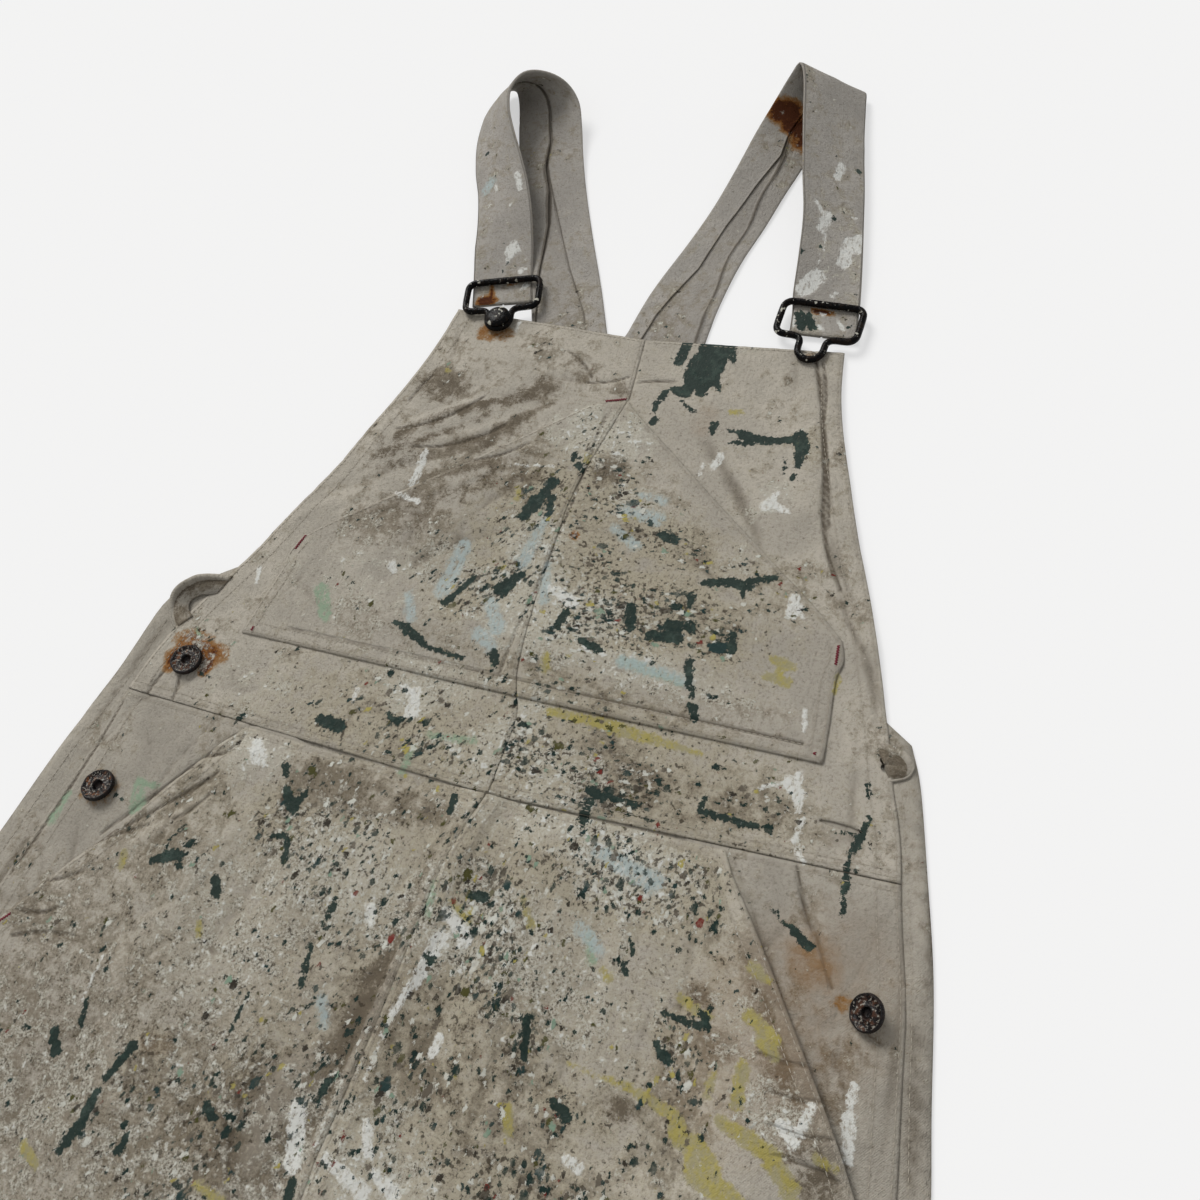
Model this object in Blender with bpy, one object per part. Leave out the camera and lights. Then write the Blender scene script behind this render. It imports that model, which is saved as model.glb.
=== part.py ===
"""Painter's bib overalls in white cotton drill, laid face up on a flat surface.

Lengths in the tables are millimetres in the plan of the garment as it lies: x to the
right from the centre seam, y towards the shoulder straps from the top edge of the bib.
Z is up, and z = 0 is the surface that the back rests on. Each panel is one wall of
cloth. What lies on another panel is made from the same height rule, one layer higher.
The last step moves everything so that the origin is under the middle of the whole box.
"""
import math
from collections import namedtuple

import bmesh
import bpy
import numpy as np
from mathutils import Matrix, Vector

# Driving dimensions, in metres.
MM = 0.001
CLOTH = 1.3 * MM            # one thickness of drill with its nap and fell
GAP = 0.3 * MM              # air between two pieces of cloth
LAYER = CLOTH + GAP         # rise from one panel to the panel that lies on it
STRAP_CLOTH = 2.0 * MM      # a strap is one cloth folded in to the middle
POCKET_REACH = 34 * MM      # width that the hip pocket's facing runs under the front
POCKET_FADE = 80 * MM       # where the front has come down from the facing to the back
BUCKLE_WIRE = 4.0 * MM
BUCKLE_SIZE = (56 * MM, 31 * MM)
BUCKLE_CORNER = 6 * MM
BUCKLE_LIFT = 6.7 * MM      # middle of the frame, held up by the strap under its top bar
LOOP_RADIUS = 8.2 * MM      # hanging loop of the buckle, on the wire's centre line
LOOP_DROP = 9.3 * MM
LOOP_NECK = 3.0 * MM        # slanted step from the frame into the loop
BUTTON_RADIUS = 11.0 * MM
KNOB_RADIUS = 8.6 * MM
ROUND_SEGMENTS = 18         # sides of a turned button
WIRE_SIDES = 8
STRAP_COLUMNS = 3

# Heights on the garment, millimetres.
BIB_TOP = 11
POCKET_FOOT = -259
WAIST_SEAM = -318
CROTCH = -602
HEM = -1352
STRAP_ENDS = (-130, -60)    # the bib comes down from the straps' ends to the back here
POCKET_MOUTH = (146, -315, 245, -462)

Material = namedtuple("Material", "name colour roughness metallic")
DRILL = Material("white_drill", (0.42, 0.39, 0.34), 0.92, 0.0)
POCKET_DRILL = Material("pocket_drill", (0.36, 0.34, 0.29), 0.92, 0.0)
STRAP_DRILL = Material("strap_drill", (0.45, 0.42, 0.38), 0.92, 0.0)
BLACK_WIRE = Material("black_wire", (0.015, 0.015, 0.016), 0.38, 0.6)
RUSTED_STEEL = Material("rusted_steel", (0.055, 0.035, 0.025), 0.55, 0.8)

# Sideways lie of the cloth: x at each y, for the centre seam of the front, for the
# front's two side edges together, and for the whole back, which has slipped over.
Lie = namedtuple("Lie", "y x")
FRONT_SEAM = (
    Lie(BIB_TOP, 3),
    Lie(-48, 8),
    Lie(-100, -2),
    Lie(-132, -5),
    Lie(-196, -3),
    Lie(-250, 3),
    Lie(-270, 11),
    Lie(WAIST_SEAM, 10),
    Lie(-360, 2),
    Lie(-440, -1),
    Lie(-513, -6),
    Lie(CROTCH, -4),
)
FRONT_SIDES = (
    Lie(BIB_TOP, -2),
    Lie(-130, 1),
    Lie(-200, 0),
    Lie(-262, -5),
    Lie(-306, -4),
    Lie(-360, 0),
)
POCKET_LIE = (
    Lie(BIB_TOP, -2),
    Lie(-130, 1),
    Lie(-190, 2),
    Lie(POCKET_FOOT, 0),
)
BACK_LIE = (
    Lie(-16, -16),
    Lie(-200, -9),
    Lie(-262, -8),
    Lie(-300, -5),
    Lie(CROTCH, -4),
)

# Panels: one row for each level, with the outer edge and the inner edge of one half.
# An inner x of 0 is on the centre seam. The two halves mirror each other about the lie.
Row = namedtuple("Row", "x_out y_out x_in y_in")
BACK_ROWS = (
    Row(50, -34, 0, -16),
    Row(84, -88, 0, -80),
    Row(132, -150, 0, -150),
    Row(180, -200, 0, -200),
    Row(208, -222, 0, -222),
    Row(230, -237, 0, -243),
    Row(238, -258, 0, -266),
    Row(246, -300, 0, -300),
    Row(258, -350, 0, -350),
    Row(267, -405, 0, -405),
    Row(275, -455, 0, -455),
    Row(279, -520, 0, -520),
    Row(284, CROTCH, 0, CROTCH),
    Row(290, -690, 13, -690),
    Row(300, -830, 29, -830),
    Row(311, -1000, 50, -1000),
    Row(321, -1180, 72, -1180),
    Row(331, HEM, 94, HEM),
)
LEG_ROWS = (
    Row(146, WAIST_SEAM + 1, 0, WAIST_SEAM - 1),
    Row(160, -337, 0, -340),
    Row(180, -366, 0, -366),
    Row(205, -401, 0, -401),
    Row(228, -434, 0, -434),
    Row(245, -462, 0, -462),
    Row(266, -495, 0, -495),
    Row(275, -540, 0, -540),
    Row(281, CROTCH, 0, CROTCH),
    Row(288, -690, 13, -690),
    Row(299, -830, 29, -830),
    Row(310, -1000, 50, -1000),
    Row(320, -1180, 72, -1180),
    Row(330, HEM, 94, HEM),
)
POCKET_FACING_ROWS = (
    Row(234, -311, 112, -315),
    Row(238, -335, 128, -340),
    Row(244, -370, 148, -376),
    Row(249, -405, 172, -412),
    Row(254, -440, 196, -446),
    Row(258, -474, 214, -480),
)
BIB_ROWS = (
    Row(135, BIB_TOP - 1, 0, 2),
    Row(139, -20, 0, -24),
    Row(146, -50, 0, -50),
    Row(157, -85, 0, -85),
    Row(170, -125, 0, -125),
    Row(184, -160, 0, -160),
    Row(200, -204, 0, -204),
    Row(211, -232, 0, -234),
    Row(222, -262, 0, -264),
    Row(230, -288, 0, -292),
    Row(234, -309, 0, WAIST_SEAM + 1),
)
BIB_POCKET_ROWS = (
    Row(15, -56, 0, -49),
    Row(49, -84, 0, -84),
    Row(90, -118, 0, -118),
    Row(131, -151, 0, -151),
    Row(173, -187, 0, -187),
    Row(175, -210, 0, -210),
    Row(178, -235, 0, -235),
    Row(180, -258, 0, POCKET_FOOT),
)

# Largest folds: a soft ridge along a line, with its height and half width. A fold keeps
# clear of the edges where one piece lies on another.
Fold = namedtuple("Fold", "x0 y0 x1 y1 height half_width")
BIB_FOLDS = (
    Fold(122, -26, 140, -100, 5.0, 13),      # roll inside the right edge
    Fold(140, -100, 170, -144, 4.5, 11),
    Fold(170, -144, 198, -198, 3.5, 9),
    Fold(-118, -42, -60, -18, 3.0, 22),      # drag lines from the left buckle
    Fold(-148, -116, -76, -60, 3.5, 22),
)
BIB_POCKET_FOLDS = (
    Fold(-130, -200, -60, -152, 3.0, 26),
    Fold(-90, -224, 100, -226, 2.5, 27),     # the bib lies over the waist
    Fold(60, -188, 116, -186, 2.5, 26),
    Fold(-4, -110, 0, -236, 1.8, 14),        # middle seam
)
LEG_FOLDS = (
    Fold(6, -326, 3, -590, 6.0, 15),         # felled seam of the front rise
    Fold(52, -350, 60, -580, 4.5, 34),
    Fold(-70, -360, -62, -590, 3.5, 30),
    Fold(-150, -390, -110, -560, 5.0, 36),
    Fold(-190, -366, -140, -330, 3.5, 18),   # crumples beside the left pocket
    Fold(206, -396, 226, -436, 6.0, 20),     # the right pocket's mouth stands open
    Fold(170, -480, 150, -640, 5.5, 40),
    Fold(-195, -620, -172, -930, 7.0, 52),
    Fold(-120, -760, -150, -1180, 5.5, 44),
    Fold(-245, -980, -262, -1300, 6.0, 42),
    Fold(-190, -1190, -185, -1330, 5.0, 40),
    Fold(120, -650, 158, -900, 6.0, 48),
    Fold(222, -700, 205, -1050, 6.5, 50),
    Fold(150, -1040, 190, -1320, 6.0, 46),
    Fold(262, -1110, 276, -1310, 4.5, 34),
)
BACK_FOLDS = (
    Fold(-266, -252, -252, -230, 12.0, 24),  # rolled corners, seen beside the waist
    Fold(264, -256, 252, -236, 8.0, 20),
)

# Straps: one row for each cross section, from the back to the buckle. "High" is the
# edge on the garment's inner side, which stands up where the strap turns over.
Section = namedtuple("Section", "x_high y_high z_high x_low y_low z_low")
LEFT_STRAP = (
    Section(-17, -12, 1, -66, -32, 1),
    Section(-25, 6, 1, -74, -10, 1),
    Section(-42, 45, 1, -89, 29, 1),
    Section(-64, 92, 1, -109, 76, 1),
    Section(-83, 135, 1.5, -128, 119, 1),
    Section(-95, 166, 4, -143, 154, 1),
    Section(-103, 190, 9, -155, 186, 1.5),
    Section(-110, 208, 16, -164, 212, 2),
    Section(-121, 217, 25, -170, 226, 3),
    Section(-135, 216, 34, -174, 231, 3.5),
    Section(-148, 209, 39, -179, 230, 4),
    Section(-154, 194, 38.5, -184, 219, 5),
    Section(-150, 176, 36, -186, 198, 6),
    Section(-140, 156, 32, -182, 168, 6),
    Section(-128, 136, 27, -172, 138, 6),
    Section(-118, 118, 22, -160, 112, 6.5),
    Section(-108, 95, 16, -150, 85, 7),
    Section(-100, 70, 8, -143, 60, 5.5),
    Section(-94, 48, 3, -136, 38, 3),
    Section(-86, 24, 2.3, -128, 14, 2.3),
)
RIGHT_STRAP = (
    Section(-15, -12, 1, 43, -20, 1),
    Section(-11, 8, 1, 43, 2, 1),
    Section(-5, 45, 1, 44, 38, 1),
    Section(8, 88, 2.5, 49, 78, 1),
    Section(18, 124, 5, 57, 113, 1),
    Section(25, 158, 8, 64, 148, 1),
    Section(32, 188, 14, 72, 180, 1.5),
    Section(41, 208, 24, 81, 206, 2),
    Section(49, 221, 34, 90, 230, 3),
    Section(55, 228, 40, 97, 243, 4.5),
    Section(62, 210, 40, 101, 226, 6),
    Section(70, 172, 34, 108, 187, 7),
    Section(78, 136, 28, 117, 146, 7),
    Section(85, 106, 21, 123, 115, 7),
    Section(88, 78, 12, 129, 83, 7),
    Section(90, 53, 4.2, 134, 53, 4.2),
    Section(93, 38, 3.4, 136, 37, 3.4),
    Section(95, 21, 2.8, 138, 21, 2.8),
)

# Hardware: where each piece lies in the plan, how it is turned, and how far its upper
# side is tipped up, in degrees.
Placed = namedtuple("Placed", "name x y turn tilt")
BUCKLES = (
    Placed("buckle_left", -107, 24, 14, -2),
    Placed("buckle_right", 113, 30, -2, 1),
)
SIDE_BUTTONS = (
    Placed("side_button_left_upper", -206, -284, 0, 0),
    Placed("side_button_left_lower", -221, -371, 0, 0),
    Placed("side_button_right_lower", 228, -373, 0, 0),
)
BIB_BUTTON = Placed("bib_button_left", -101, 1, 0, 0)


def clear_scene():
    for thing in list(bpy.data.objects):
        bpy.data.objects.remove(thing, do_unlink=True)


def make_material(spec):
    """Principled material for one finish, made once."""
    material = bpy.data.materials.get(spec.name)
    if material is None:
        material = bpy.data.materials.new(spec.name)
        material.use_nodes = True
        shader = material.node_tree.nodes["Principled BSDF"]
        shader.inputs["Base Color"].default_value = (*spec.colour, 1)
        shader.inputs["Roughness"].default_value = spec.roughness
        shader.inputs["Metallic"].default_value = spec.metallic
    return material


def add_object(name, mesh, material, sharp_from):
    """Object from a closed mesh, facing out, with edges sharp above an angle."""
    bmesh.ops.recalc_face_normals(mesh, faces=mesh.faces)
    if mesh.calc_volume(signed=True) < 0:
        bmesh.ops.reverse_faces(mesh, faces=mesh.faces)
    bmesh.ops.triangulate(mesh, faces=mesh.faces)
    data = bpy.data.meshes.new(name)
    mesh.to_mesh(data)
    mesh.free()
    data.shade_smooth()
    data.set_sharp_from_angle(angle=math.radians(sharp_from))
    data.materials.append(make_material(material))
    thing = bpy.data.objects.new(name, data)
    bpy.context.collection.objects.link(thing)
    return thing


def smooth_step(value, low, high):
    """0 below low, 1 above high, with a soft change between them."""
    t = np.clip((value - low) / (high - low), 0, 1)
    return t * t * (3 - 2 * t)


def distance_to_line(x, y, x0, y0, x1, y1):
    """Distance in the plan from points x, y to the segment between two ends."""
    along = np.array([x1 - x0, y1 - y0])
    t = ((x - x0) * along[0] + (y - y0) * along[1]) / (along @ along)
    t = np.clip(t, 0, 1)
    return np.hypot(x - x0 - t * along[0], y - y0 - t * along[1])


def fold_height(x, y, folds):
    """Height that the folds of a table add at points x, y."""
    height = np.zeros_like(x)
    for fold in folds:
        ends = [value * MM for value in (fold.x0, fold.y0, fold.x1, fold.y1)]
        near = distance_to_line(x, y, *ends) / (fold.half_width * MM)
        height += fold.height * MM * (1 - np.clip(near, 0, 1) ** 2) ** 2
    return height


def lie_at(y, table):
    """Sideways lie at y, on straight lines through a table."""
    heights = [point.y * MM for point in reversed(table)]
    places = [point.x * MM for point in reversed(table)]
    return np.interp(y, heights, places)


def row_at(rows, place):
    """A row of an outline at a fractional place, on a smooth curve through the table."""
    first = min(int(place), len(rows) - 2)
    t = place - first
    known = [np.array(rows[max(0, min(len(rows) - 1, first + k))]) for k in (-1, 0, 1, 2)]
    before, start, end, after = known
    if first == 0:
        before = 2 * start - end
    if first == len(rows) - 2:
        after = 2 * end - start
    return 0.5 * (2 * start + (end - before) * t
                  + (2 * before - 5 * start + 4 * end - after) * t ** 2
                  + (3 * start - before - 3 * end + after) * t ** 3)


def plan_grid(rows, side, steps, columns, crowding, seam, edges):
    """Points of a half panel in the plan, with columns crowded towards the seam."""
    count = (len(rows) - 1) * steps + 1
    fractions = (np.arange(columns + 1) / columns) ** crowding
    grid = np.zeros((count, columns + 1, 2))
    for index in range(count):
        x_out, y_out, x_in, y_in = row_at(rows, index / steps) * MM
        inner = side * (max(x_in, 0) + GAP / 2) + lie_at(y_in, seam)
        outer = side * x_out + lie_at(y_out, edges)
        grid[index, :, 0] = inner + (outer - inner) * fractions
        grid[index, :, 1] = y_in + (y_out - y_in) * fractions
    return grid


def layer_height(y, layer):
    """Underside of a flat panel. Layer 1 lies on the back and on the straps' ends."""
    low, high = STRAP_ENDS
    over_straps = smooth_step(y, low * MM, high * MM) * (STRAP_CLOTH - CLOTH)
    return layer * LAYER + over_straps


def back_height(x, y):
    return fold_height(x, y, BACK_FOLDS)


def bib_height(x, y):
    return layer_height(y, 1) + fold_height(x, y, BIB_FOLDS)


def bib_pocket_height(x, y):
    return layer_height(y, 2) + fold_height(x, y, BIB_POCKET_FOLDS)


def flat_height(x, y):
    """Underside of a piece that lies flat on the back."""
    return layer_height(y, 1)


def leg_height(x, y):
    """The front of a leg comes up over the hip pocket's facing beside the mouth."""
    beside = distance_to_line(np.abs(x), y, *(value * MM for value in POCKET_MOUTH))
    over_facing = 1 - smooth_step(beside, POCKET_REACH, POCKET_FADE)
    return layer_height(y, 1) + over_facing * LAYER + fold_height(x, y, LEG_FOLDS)


def solid_from_sheets(name, upper, lower, material):
    """Closed wall between two matching grids of points, rows by columns by three."""
    rows, columns = upper.shape[:2]
    mesh = bmesh.new()
    sheets = []
    for grid in (upper, lower):
        sheets.append([[mesh.verts.new(grid[r, c]) for c in range(columns)]
                       for r in range(rows)])
    top, bottom = sheets
    for r in range(rows - 1):
        for c in range(columns - 1):
            mesh.faces.new((top[r][c], top[r + 1][c], top[r + 1][c + 1], top[r][c + 1]))
            mesh.faces.new((bottom[r][c], bottom[r][c + 1], bottom[r + 1][c + 1],
                            bottom[r + 1][c]))
    rim = [(0, c) for c in range(columns - 1)]
    rim += [(r, columns - 1) for r in range(rows - 1)]
    rim += [(rows - 1, c) for c in range(columns - 1, 0, -1)]
    rim += [(r, 0) for r in range(rows - 1, 0, -1)]
    for here, there in zip(rim, rim[1:] + rim[:1]):
        mesh.faces.new((top[here[0]][here[1]], top[there[0]][there[1]],
                        bottom[there[0]][there[1]], bottom[here[0]][here[1]]))
    return add_object(name, mesh, material, 50)


def flat_panel(name, grid, underside, material):
    """Wall of one cloth over a plan grid, on a rule for the height of its underside."""
    x = grid[:, :, 0]
    y = grid[:, :, 1]
    low = underside(x, y)
    lower = np.dstack([x, y, low])
    upper = np.dstack([x, y, low + CLOTH])
    return solid_from_sheets(name, upper, lower, material)


def panels(name, rows, steps, columns, underside, crowding=1.0,
           seam=FRONT_SEAM, edges=FRONT_SIDES, material=DRILL):
    """The left and the right half of one panel, sewn together on the centre seam."""
    for word, side in (("left", -1), ("right", 1)):
        grid = plan_grid(rows, side, steps, columns, crowding, seam, edges)
        flat_panel(f"{name}_{word}", grid, underside, material)


def strap(name, sections, steps):
    """A strap as a ribbon through its sections, thickened on both sides."""
    count = (len(sections) - 1) * steps + 1
    middle = np.zeros((count, STRAP_COLUMNS + 1, 3))
    for index in range(count):
        row = row_at(sections, index / steps) * MM
        high = row[:3]
        low = row[3:]
        for column in range(STRAP_COLUMNS + 1):
            middle[index, column] = high + (low - high) * column / STRAP_COLUMNS
    along = np.gradient(middle, axis=0)
    across = np.gradient(middle, axis=1)
    normal = np.cross(along, across)
    normal /= np.linalg.norm(normal, axis=2, keepdims=True)
    half = normal * STRAP_CLOTH / 2
    faces = [middle + half, middle - half]
    for face in faces:
        face[:, :, 2] = np.maximum(face[:, :, 2], 0)
    return solid_from_sheets(name, *faces, STRAP_DRILL)


def wire_path(size, corner, loop_radius, loop_drop):
    """Closed centre line of a buckle: a rounded frame with a loop under its middle."""
    half_width = size[0] / 2 - BUCKLE_WIRE / 2
    half_height = size[1] / 2 - BUCKLE_WIRE / 2
    points = []
    for turn, sx, sy in ((0, 1, 1), (90, -1, 1), (180, -1, -1), (270, 1, -1)):
        if turn == 270:
            points += hanging_loop(half_height, loop_radius, loop_drop)
        centre = Vector((sx * (half_width - corner), sy * (half_height - corner), 0))
        for step in range(5):
            angle = math.radians(turn + 90 * step / 4)
            points.append(centre + corner * Vector((math.cos(angle), math.sin(angle), 0)))
    return points


def hanging_loop(half_height, radius, drop):
    """Points of the loop that hooks over a button, from left to right."""
    points = [Vector((-radius - LOOP_NECK, -half_height, 0))]
    points.append(Vector((-radius, -half_height - LOOP_NECK, 0)))
    for step in range(9):
        angle = math.radians(180 + 180 * step / 8)
        points.append(Vector((radius * math.cos(angle),
                              -half_height - drop + radius * math.sin(angle), 0)))
    points.append(Vector((radius, -half_height - LOOP_NECK, 0)))
    points.append(Vector((radius + LOOP_NECK, -half_height, 0)))
    return points


def wire_loop(name, points, radius, material):
    """Closed tube of round wire along a closed line of points in one plane."""
    mesh = bmesh.new()
    rings = []
    count = len(points)
    for index, point in enumerate(points):
        ahead = (points[(index + 1) % count] - points[index - 1]).normalized()
        outward = Vector((ahead.y, -ahead.x, 0))
        ring = []
        for side in range(WIRE_SIDES):
            angle = 2 * math.pi * side / WIRE_SIDES
            offset = outward * math.cos(angle) + Vector((0, 0, math.sin(angle)))
            ring.append(mesh.verts.new(point + radius * offset))
        rings.append(ring)
    for ring, following in zip(rings, rings[1:] + rings[:1]):
        for side in range(WIRE_SIDES):
            other = (side + 1) % WIRE_SIDES
            mesh.faces.new((ring[side], ring[other], following[other], following[side]))
    return add_object(name, mesh, material, 60)


def turned(name, profile, material):
    """Solid of revolution about Z from a profile of radius and height that closes."""
    mesh = bmesh.new()
    rings = []
    for radius, height in profile:
        if radius == 0:
            rings.append([mesh.verts.new((0, 0, height))])
            continue
        ring = []
        for step in range(ROUND_SEGMENTS):
            angle = 2 * math.pi * step / ROUND_SEGMENTS
            ring.append(mesh.verts.new((radius * math.cos(angle),
                                        radius * math.sin(angle), height)))
        rings.append(ring)
    for ring, following in zip(rings, rings[1:]):
        for step in range(ROUND_SEGMENTS):
            other = (step + 1) % ROUND_SEGMENTS
            corners = [ring[step % len(ring)], ring[other % len(ring)],
                       following[other % len(following)],
                       following[step % len(following)]]
            mesh.faces.new(list(dict.fromkeys(corners)))
    return add_object(name, mesh, material, 35)


def side_button(spot):
    """Pressed steel button with a rolled rim and a dished middle."""
    r = BUTTON_RADIUS
    profile = ((0, 0), (0.80 * r, 0), (0.97 * r, 0.10 * r), (r, 0.22 * r),
               (0.92 * r, 0.34 * r), (0.74 * r, 0.38 * r), (0.56 * r, 0.30 * r),
               (0.42 * r, 0.22 * r), (0, 0.20 * r))
    button = turned(spot.name, profile, RUSTED_STEEL)
    base = highest_under(spot, flat_height, BUTTON_RADIUS)
    button.location = (spot.x * MM, spot.y * MM, base)


def bib_button(spot):
    """Domed knob on a shank, with the buckle's loop round the shank."""
    r = KNOB_RADIUS
    profile = ((0, 0), (0.60 * r, 0), (0.60 * r, 0.68 * r), (0.95 * r, 0.76 * r),
               (r, 0.86 * r), (0.90 * r, 1.00 * r), (0.60 * r, 1.10 * r), (0, 1.14 * r))
    button = turned(spot.name, profile, BLACK_WIRE)
    base = highest_under(spot, bib_height, 0.6 * KNOB_RADIUS)
    button.location = (spot.x * MM, spot.y * MM, base)


def highest_under(spot, underside, reach):
    """Height just clear of the cloth under a round piece at a spot."""
    angles = np.linspace(0, 2 * math.pi, 25)
    x = spot.x * MM + np.append(0, reach * np.cos(angles))
    y = spot.y * MM + np.append(0, reach * np.sin(angles))
    return float(underside(x, y).max()) + CLOTH + GAP


def buckle(spot):
    """The frame lies over its strap, and its loop reaches down onto the bib."""
    points = wire_path(BUCKLE_SIZE, BUCKLE_CORNER, LOOP_RADIUS, LOOP_DROP)
    frame = wire_loop(spot.name, points, BUCKLE_WIRE / 2, BLACK_WIRE)
    turn = Matrix.Rotation(math.radians(spot.turn), 4, "Z")
    tilt = Matrix.Rotation(math.radians(spot.tilt), 4, "X")
    place = Matrix.Translation((spot.x * MM, spot.y * MM, BUCKLE_LIFT))
    frame.matrix_world = place @ turn @ tilt


def centre_on_surface():
    """Moves every object so that the origin is under the middle of their box."""
    bpy.context.view_layer.update()
    corners = []
    for thing in bpy.data.objects:
        corners += [thing.matrix_world @ vertex.co for vertex in thing.data.vertices]
    low = Vector(min(point[axis] for point in corners) for axis in range(3))
    high = Vector(max(point[axis] for point in corners) for axis in range(3))
    shift = Vector((-(low.x + high.x) / 2, -(low.y + high.y) / 2, -low.z))
    for thing in bpy.data.objects:
        thing.location = thing.location + shift
    print("box", [round(value, 4) for value in high - low])
    print("shift", [round(value, 5) for value in shift])


clear_scene()
panels("back", BACK_ROWS, 1, 9, back_height, 0.55, BACK_LIE, BACK_LIE)
panels("pocket_facing", POCKET_FACING_ROWS, 2, 4, flat_height)
panels("leg_front", LEG_ROWS, 2, 9, leg_height, 1.3)
panels("bib", BIB_ROWS, 2, 9, bib_height, 0.7)
panels("bib_pocket", BIB_POCKET_ROWS, 2, 6, bib_pocket_height,
       edges=POCKET_LIE, material=POCKET_DRILL)
strap("strap_left", LEFT_STRAP, 2)
strap("strap_right", RIGHT_STRAP, 2)
for placed in BUCKLES:
    buckle(placed)
for placed in SIDE_BUTTONS:
    side_button(placed)
bib_button(BIB_BUTTON)
centre_on_surface()
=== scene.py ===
# %% [markdown]
# # Paint spattered bib overalls, laid flat
# A painter's overalls are two layers of cotton drill with two shoulder straps. The packed
# model gives every panel its place and its outline. This script dresses each of them in
# cloth: a dense thin shell with creases, sewn edges, thread, dirt and years of paint.

import math
from collections import namedtuple

import bpy
import numpy as np
from mathutils import Matrix, Vector
from mathutils.bvhtree import BVHTree
from mathutils.geometry import delaunay_2d_cdt


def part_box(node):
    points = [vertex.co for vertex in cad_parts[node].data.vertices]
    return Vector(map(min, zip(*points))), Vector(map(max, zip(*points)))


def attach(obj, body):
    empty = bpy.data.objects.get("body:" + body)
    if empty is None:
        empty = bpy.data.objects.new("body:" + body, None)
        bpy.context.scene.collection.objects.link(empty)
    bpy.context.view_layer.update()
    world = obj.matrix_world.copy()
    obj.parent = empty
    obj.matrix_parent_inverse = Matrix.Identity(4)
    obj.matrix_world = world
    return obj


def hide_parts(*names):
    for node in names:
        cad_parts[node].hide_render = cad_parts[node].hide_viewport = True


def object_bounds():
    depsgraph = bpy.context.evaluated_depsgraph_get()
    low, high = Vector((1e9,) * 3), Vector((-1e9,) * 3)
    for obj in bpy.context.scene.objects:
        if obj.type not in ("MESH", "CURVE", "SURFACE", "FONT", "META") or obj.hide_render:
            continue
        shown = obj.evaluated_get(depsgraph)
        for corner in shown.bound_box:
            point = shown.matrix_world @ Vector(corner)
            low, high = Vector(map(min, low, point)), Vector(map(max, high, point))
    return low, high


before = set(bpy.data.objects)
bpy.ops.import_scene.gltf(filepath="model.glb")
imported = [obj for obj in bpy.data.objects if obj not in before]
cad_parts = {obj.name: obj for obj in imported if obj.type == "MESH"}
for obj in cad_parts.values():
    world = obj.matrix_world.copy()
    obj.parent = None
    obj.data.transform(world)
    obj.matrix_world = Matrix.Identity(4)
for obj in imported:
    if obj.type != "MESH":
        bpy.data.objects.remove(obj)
cad_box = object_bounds()
print("nodes", len(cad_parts), "box", [round(v, 4) for corner in cad_box for v in corner])

# %% [markdown]
# ## Plan of the garment
# A cutter thinks in millimetres on the cloth, measured from the middle of the top edge of
# the bib. The whole script keeps to that plan, and one function moves points from the
# plan into the model. The left hem and the foot of the legs fix where the plan lies.

# %% Plan and model
MM = 0.001
LEFT_REACH = 335.0      # from the centre seam to the outer corner of the left hem
FULL_LENGTH = 1352.0    # from the bib's top edge to the leg hems
CLOTH = 1.1             # thickness of the drill, mm
PLAN_ORIGIN = np.array([cad_box[0][0] + LEFT_REACH * MM, cad_box[0][1] + FULL_LENGTH * MM, 0])


def to_model(points):
    """Points of the plan, in millimetres, as places in the model, in metres."""
    return np.asarray(points, float) * MM + PLAN_ORIGIN


def to_plan(points):
    return (np.asarray(points, float) - PLAN_ORIGIN) / MM


print("plan origin", PLAN_ORIGIN.round(5))

# %% [markdown]
# ## Soft noise
# Creases, dirt and puckers need slow random change over the cloth. A table of seeded
# random numbers with smooth blending between them is enough, and gives the same cloth on
# every run.

# %% Noise over the cloth
NOISE_SIZE = 256
NOISE_TABLE = np.random.default_rng(7).random((NOISE_SIZE, NOISE_SIZE))


def soft_noise(x, y, size, turn=0.0, stretch=1.0, seed=0):
    """Values from -1 to 1 that change over size mm, and stretch times slower along turn."""
    angle = math.radians(turn)
    along = (x * math.cos(angle) + y * math.sin(angle)) / (size * stretch) + 17.3 * seed
    across = (-x * math.sin(angle) + y * math.cos(angle)) / size + 41.7 * seed
    column, row = np.floor(along).astype(int), np.floor(across).astype(int)
    u, v = along - column, across - row
    u, v = u * u * (3 - 2 * u), v * v * (3 - 2 * v)
    left, right = column % NOISE_SIZE, (column + 1) % NOISE_SIZE
    low, high = row % NOISE_SIZE, (row + 1) % NOISE_SIZE
    bottom = NOISE_TABLE[low, left] * (1 - u) + NOISE_TABLE[low, right] * u
    top = NOISE_TABLE[high, left] * (1 - u) + NOISE_TABLE[high, right] * u
    return 2 * (bottom * (1 - v) + top * v) - 1


def smooth_step(value, low, high):
    t = np.clip((value - low) / (high - low), 0, 1)
    return t * t * (3 - 2 * t)


def to_segment(x, y, x0, y0, x1, y1):
    """Distance from points to a segment, and how far along it the nearest place is."""
    dx, dy = x1 - x0, y1 - y0
    t = np.clip(((x - x0) * dx + (y - y0) * dy) / max(dx * dx + dy * dy, 1e-9), 0, 1)
    return np.hypot(x - x0 - t * dx, y - y0 - t * dy), t


def to_path(x, y, path):
    """Distance from points to a line through the points of a path."""
    best = np.full(len(x), 1e9)
    for (x0, y0), (x1, y1) in zip(path, path[1:]):
        best = np.minimum(best, to_segment(x, y, x0, y0, x1, y1)[0])
    return best


print("noise from", soft_noise(np.arange(9.0), np.zeros(9), 3).round(2))

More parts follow.
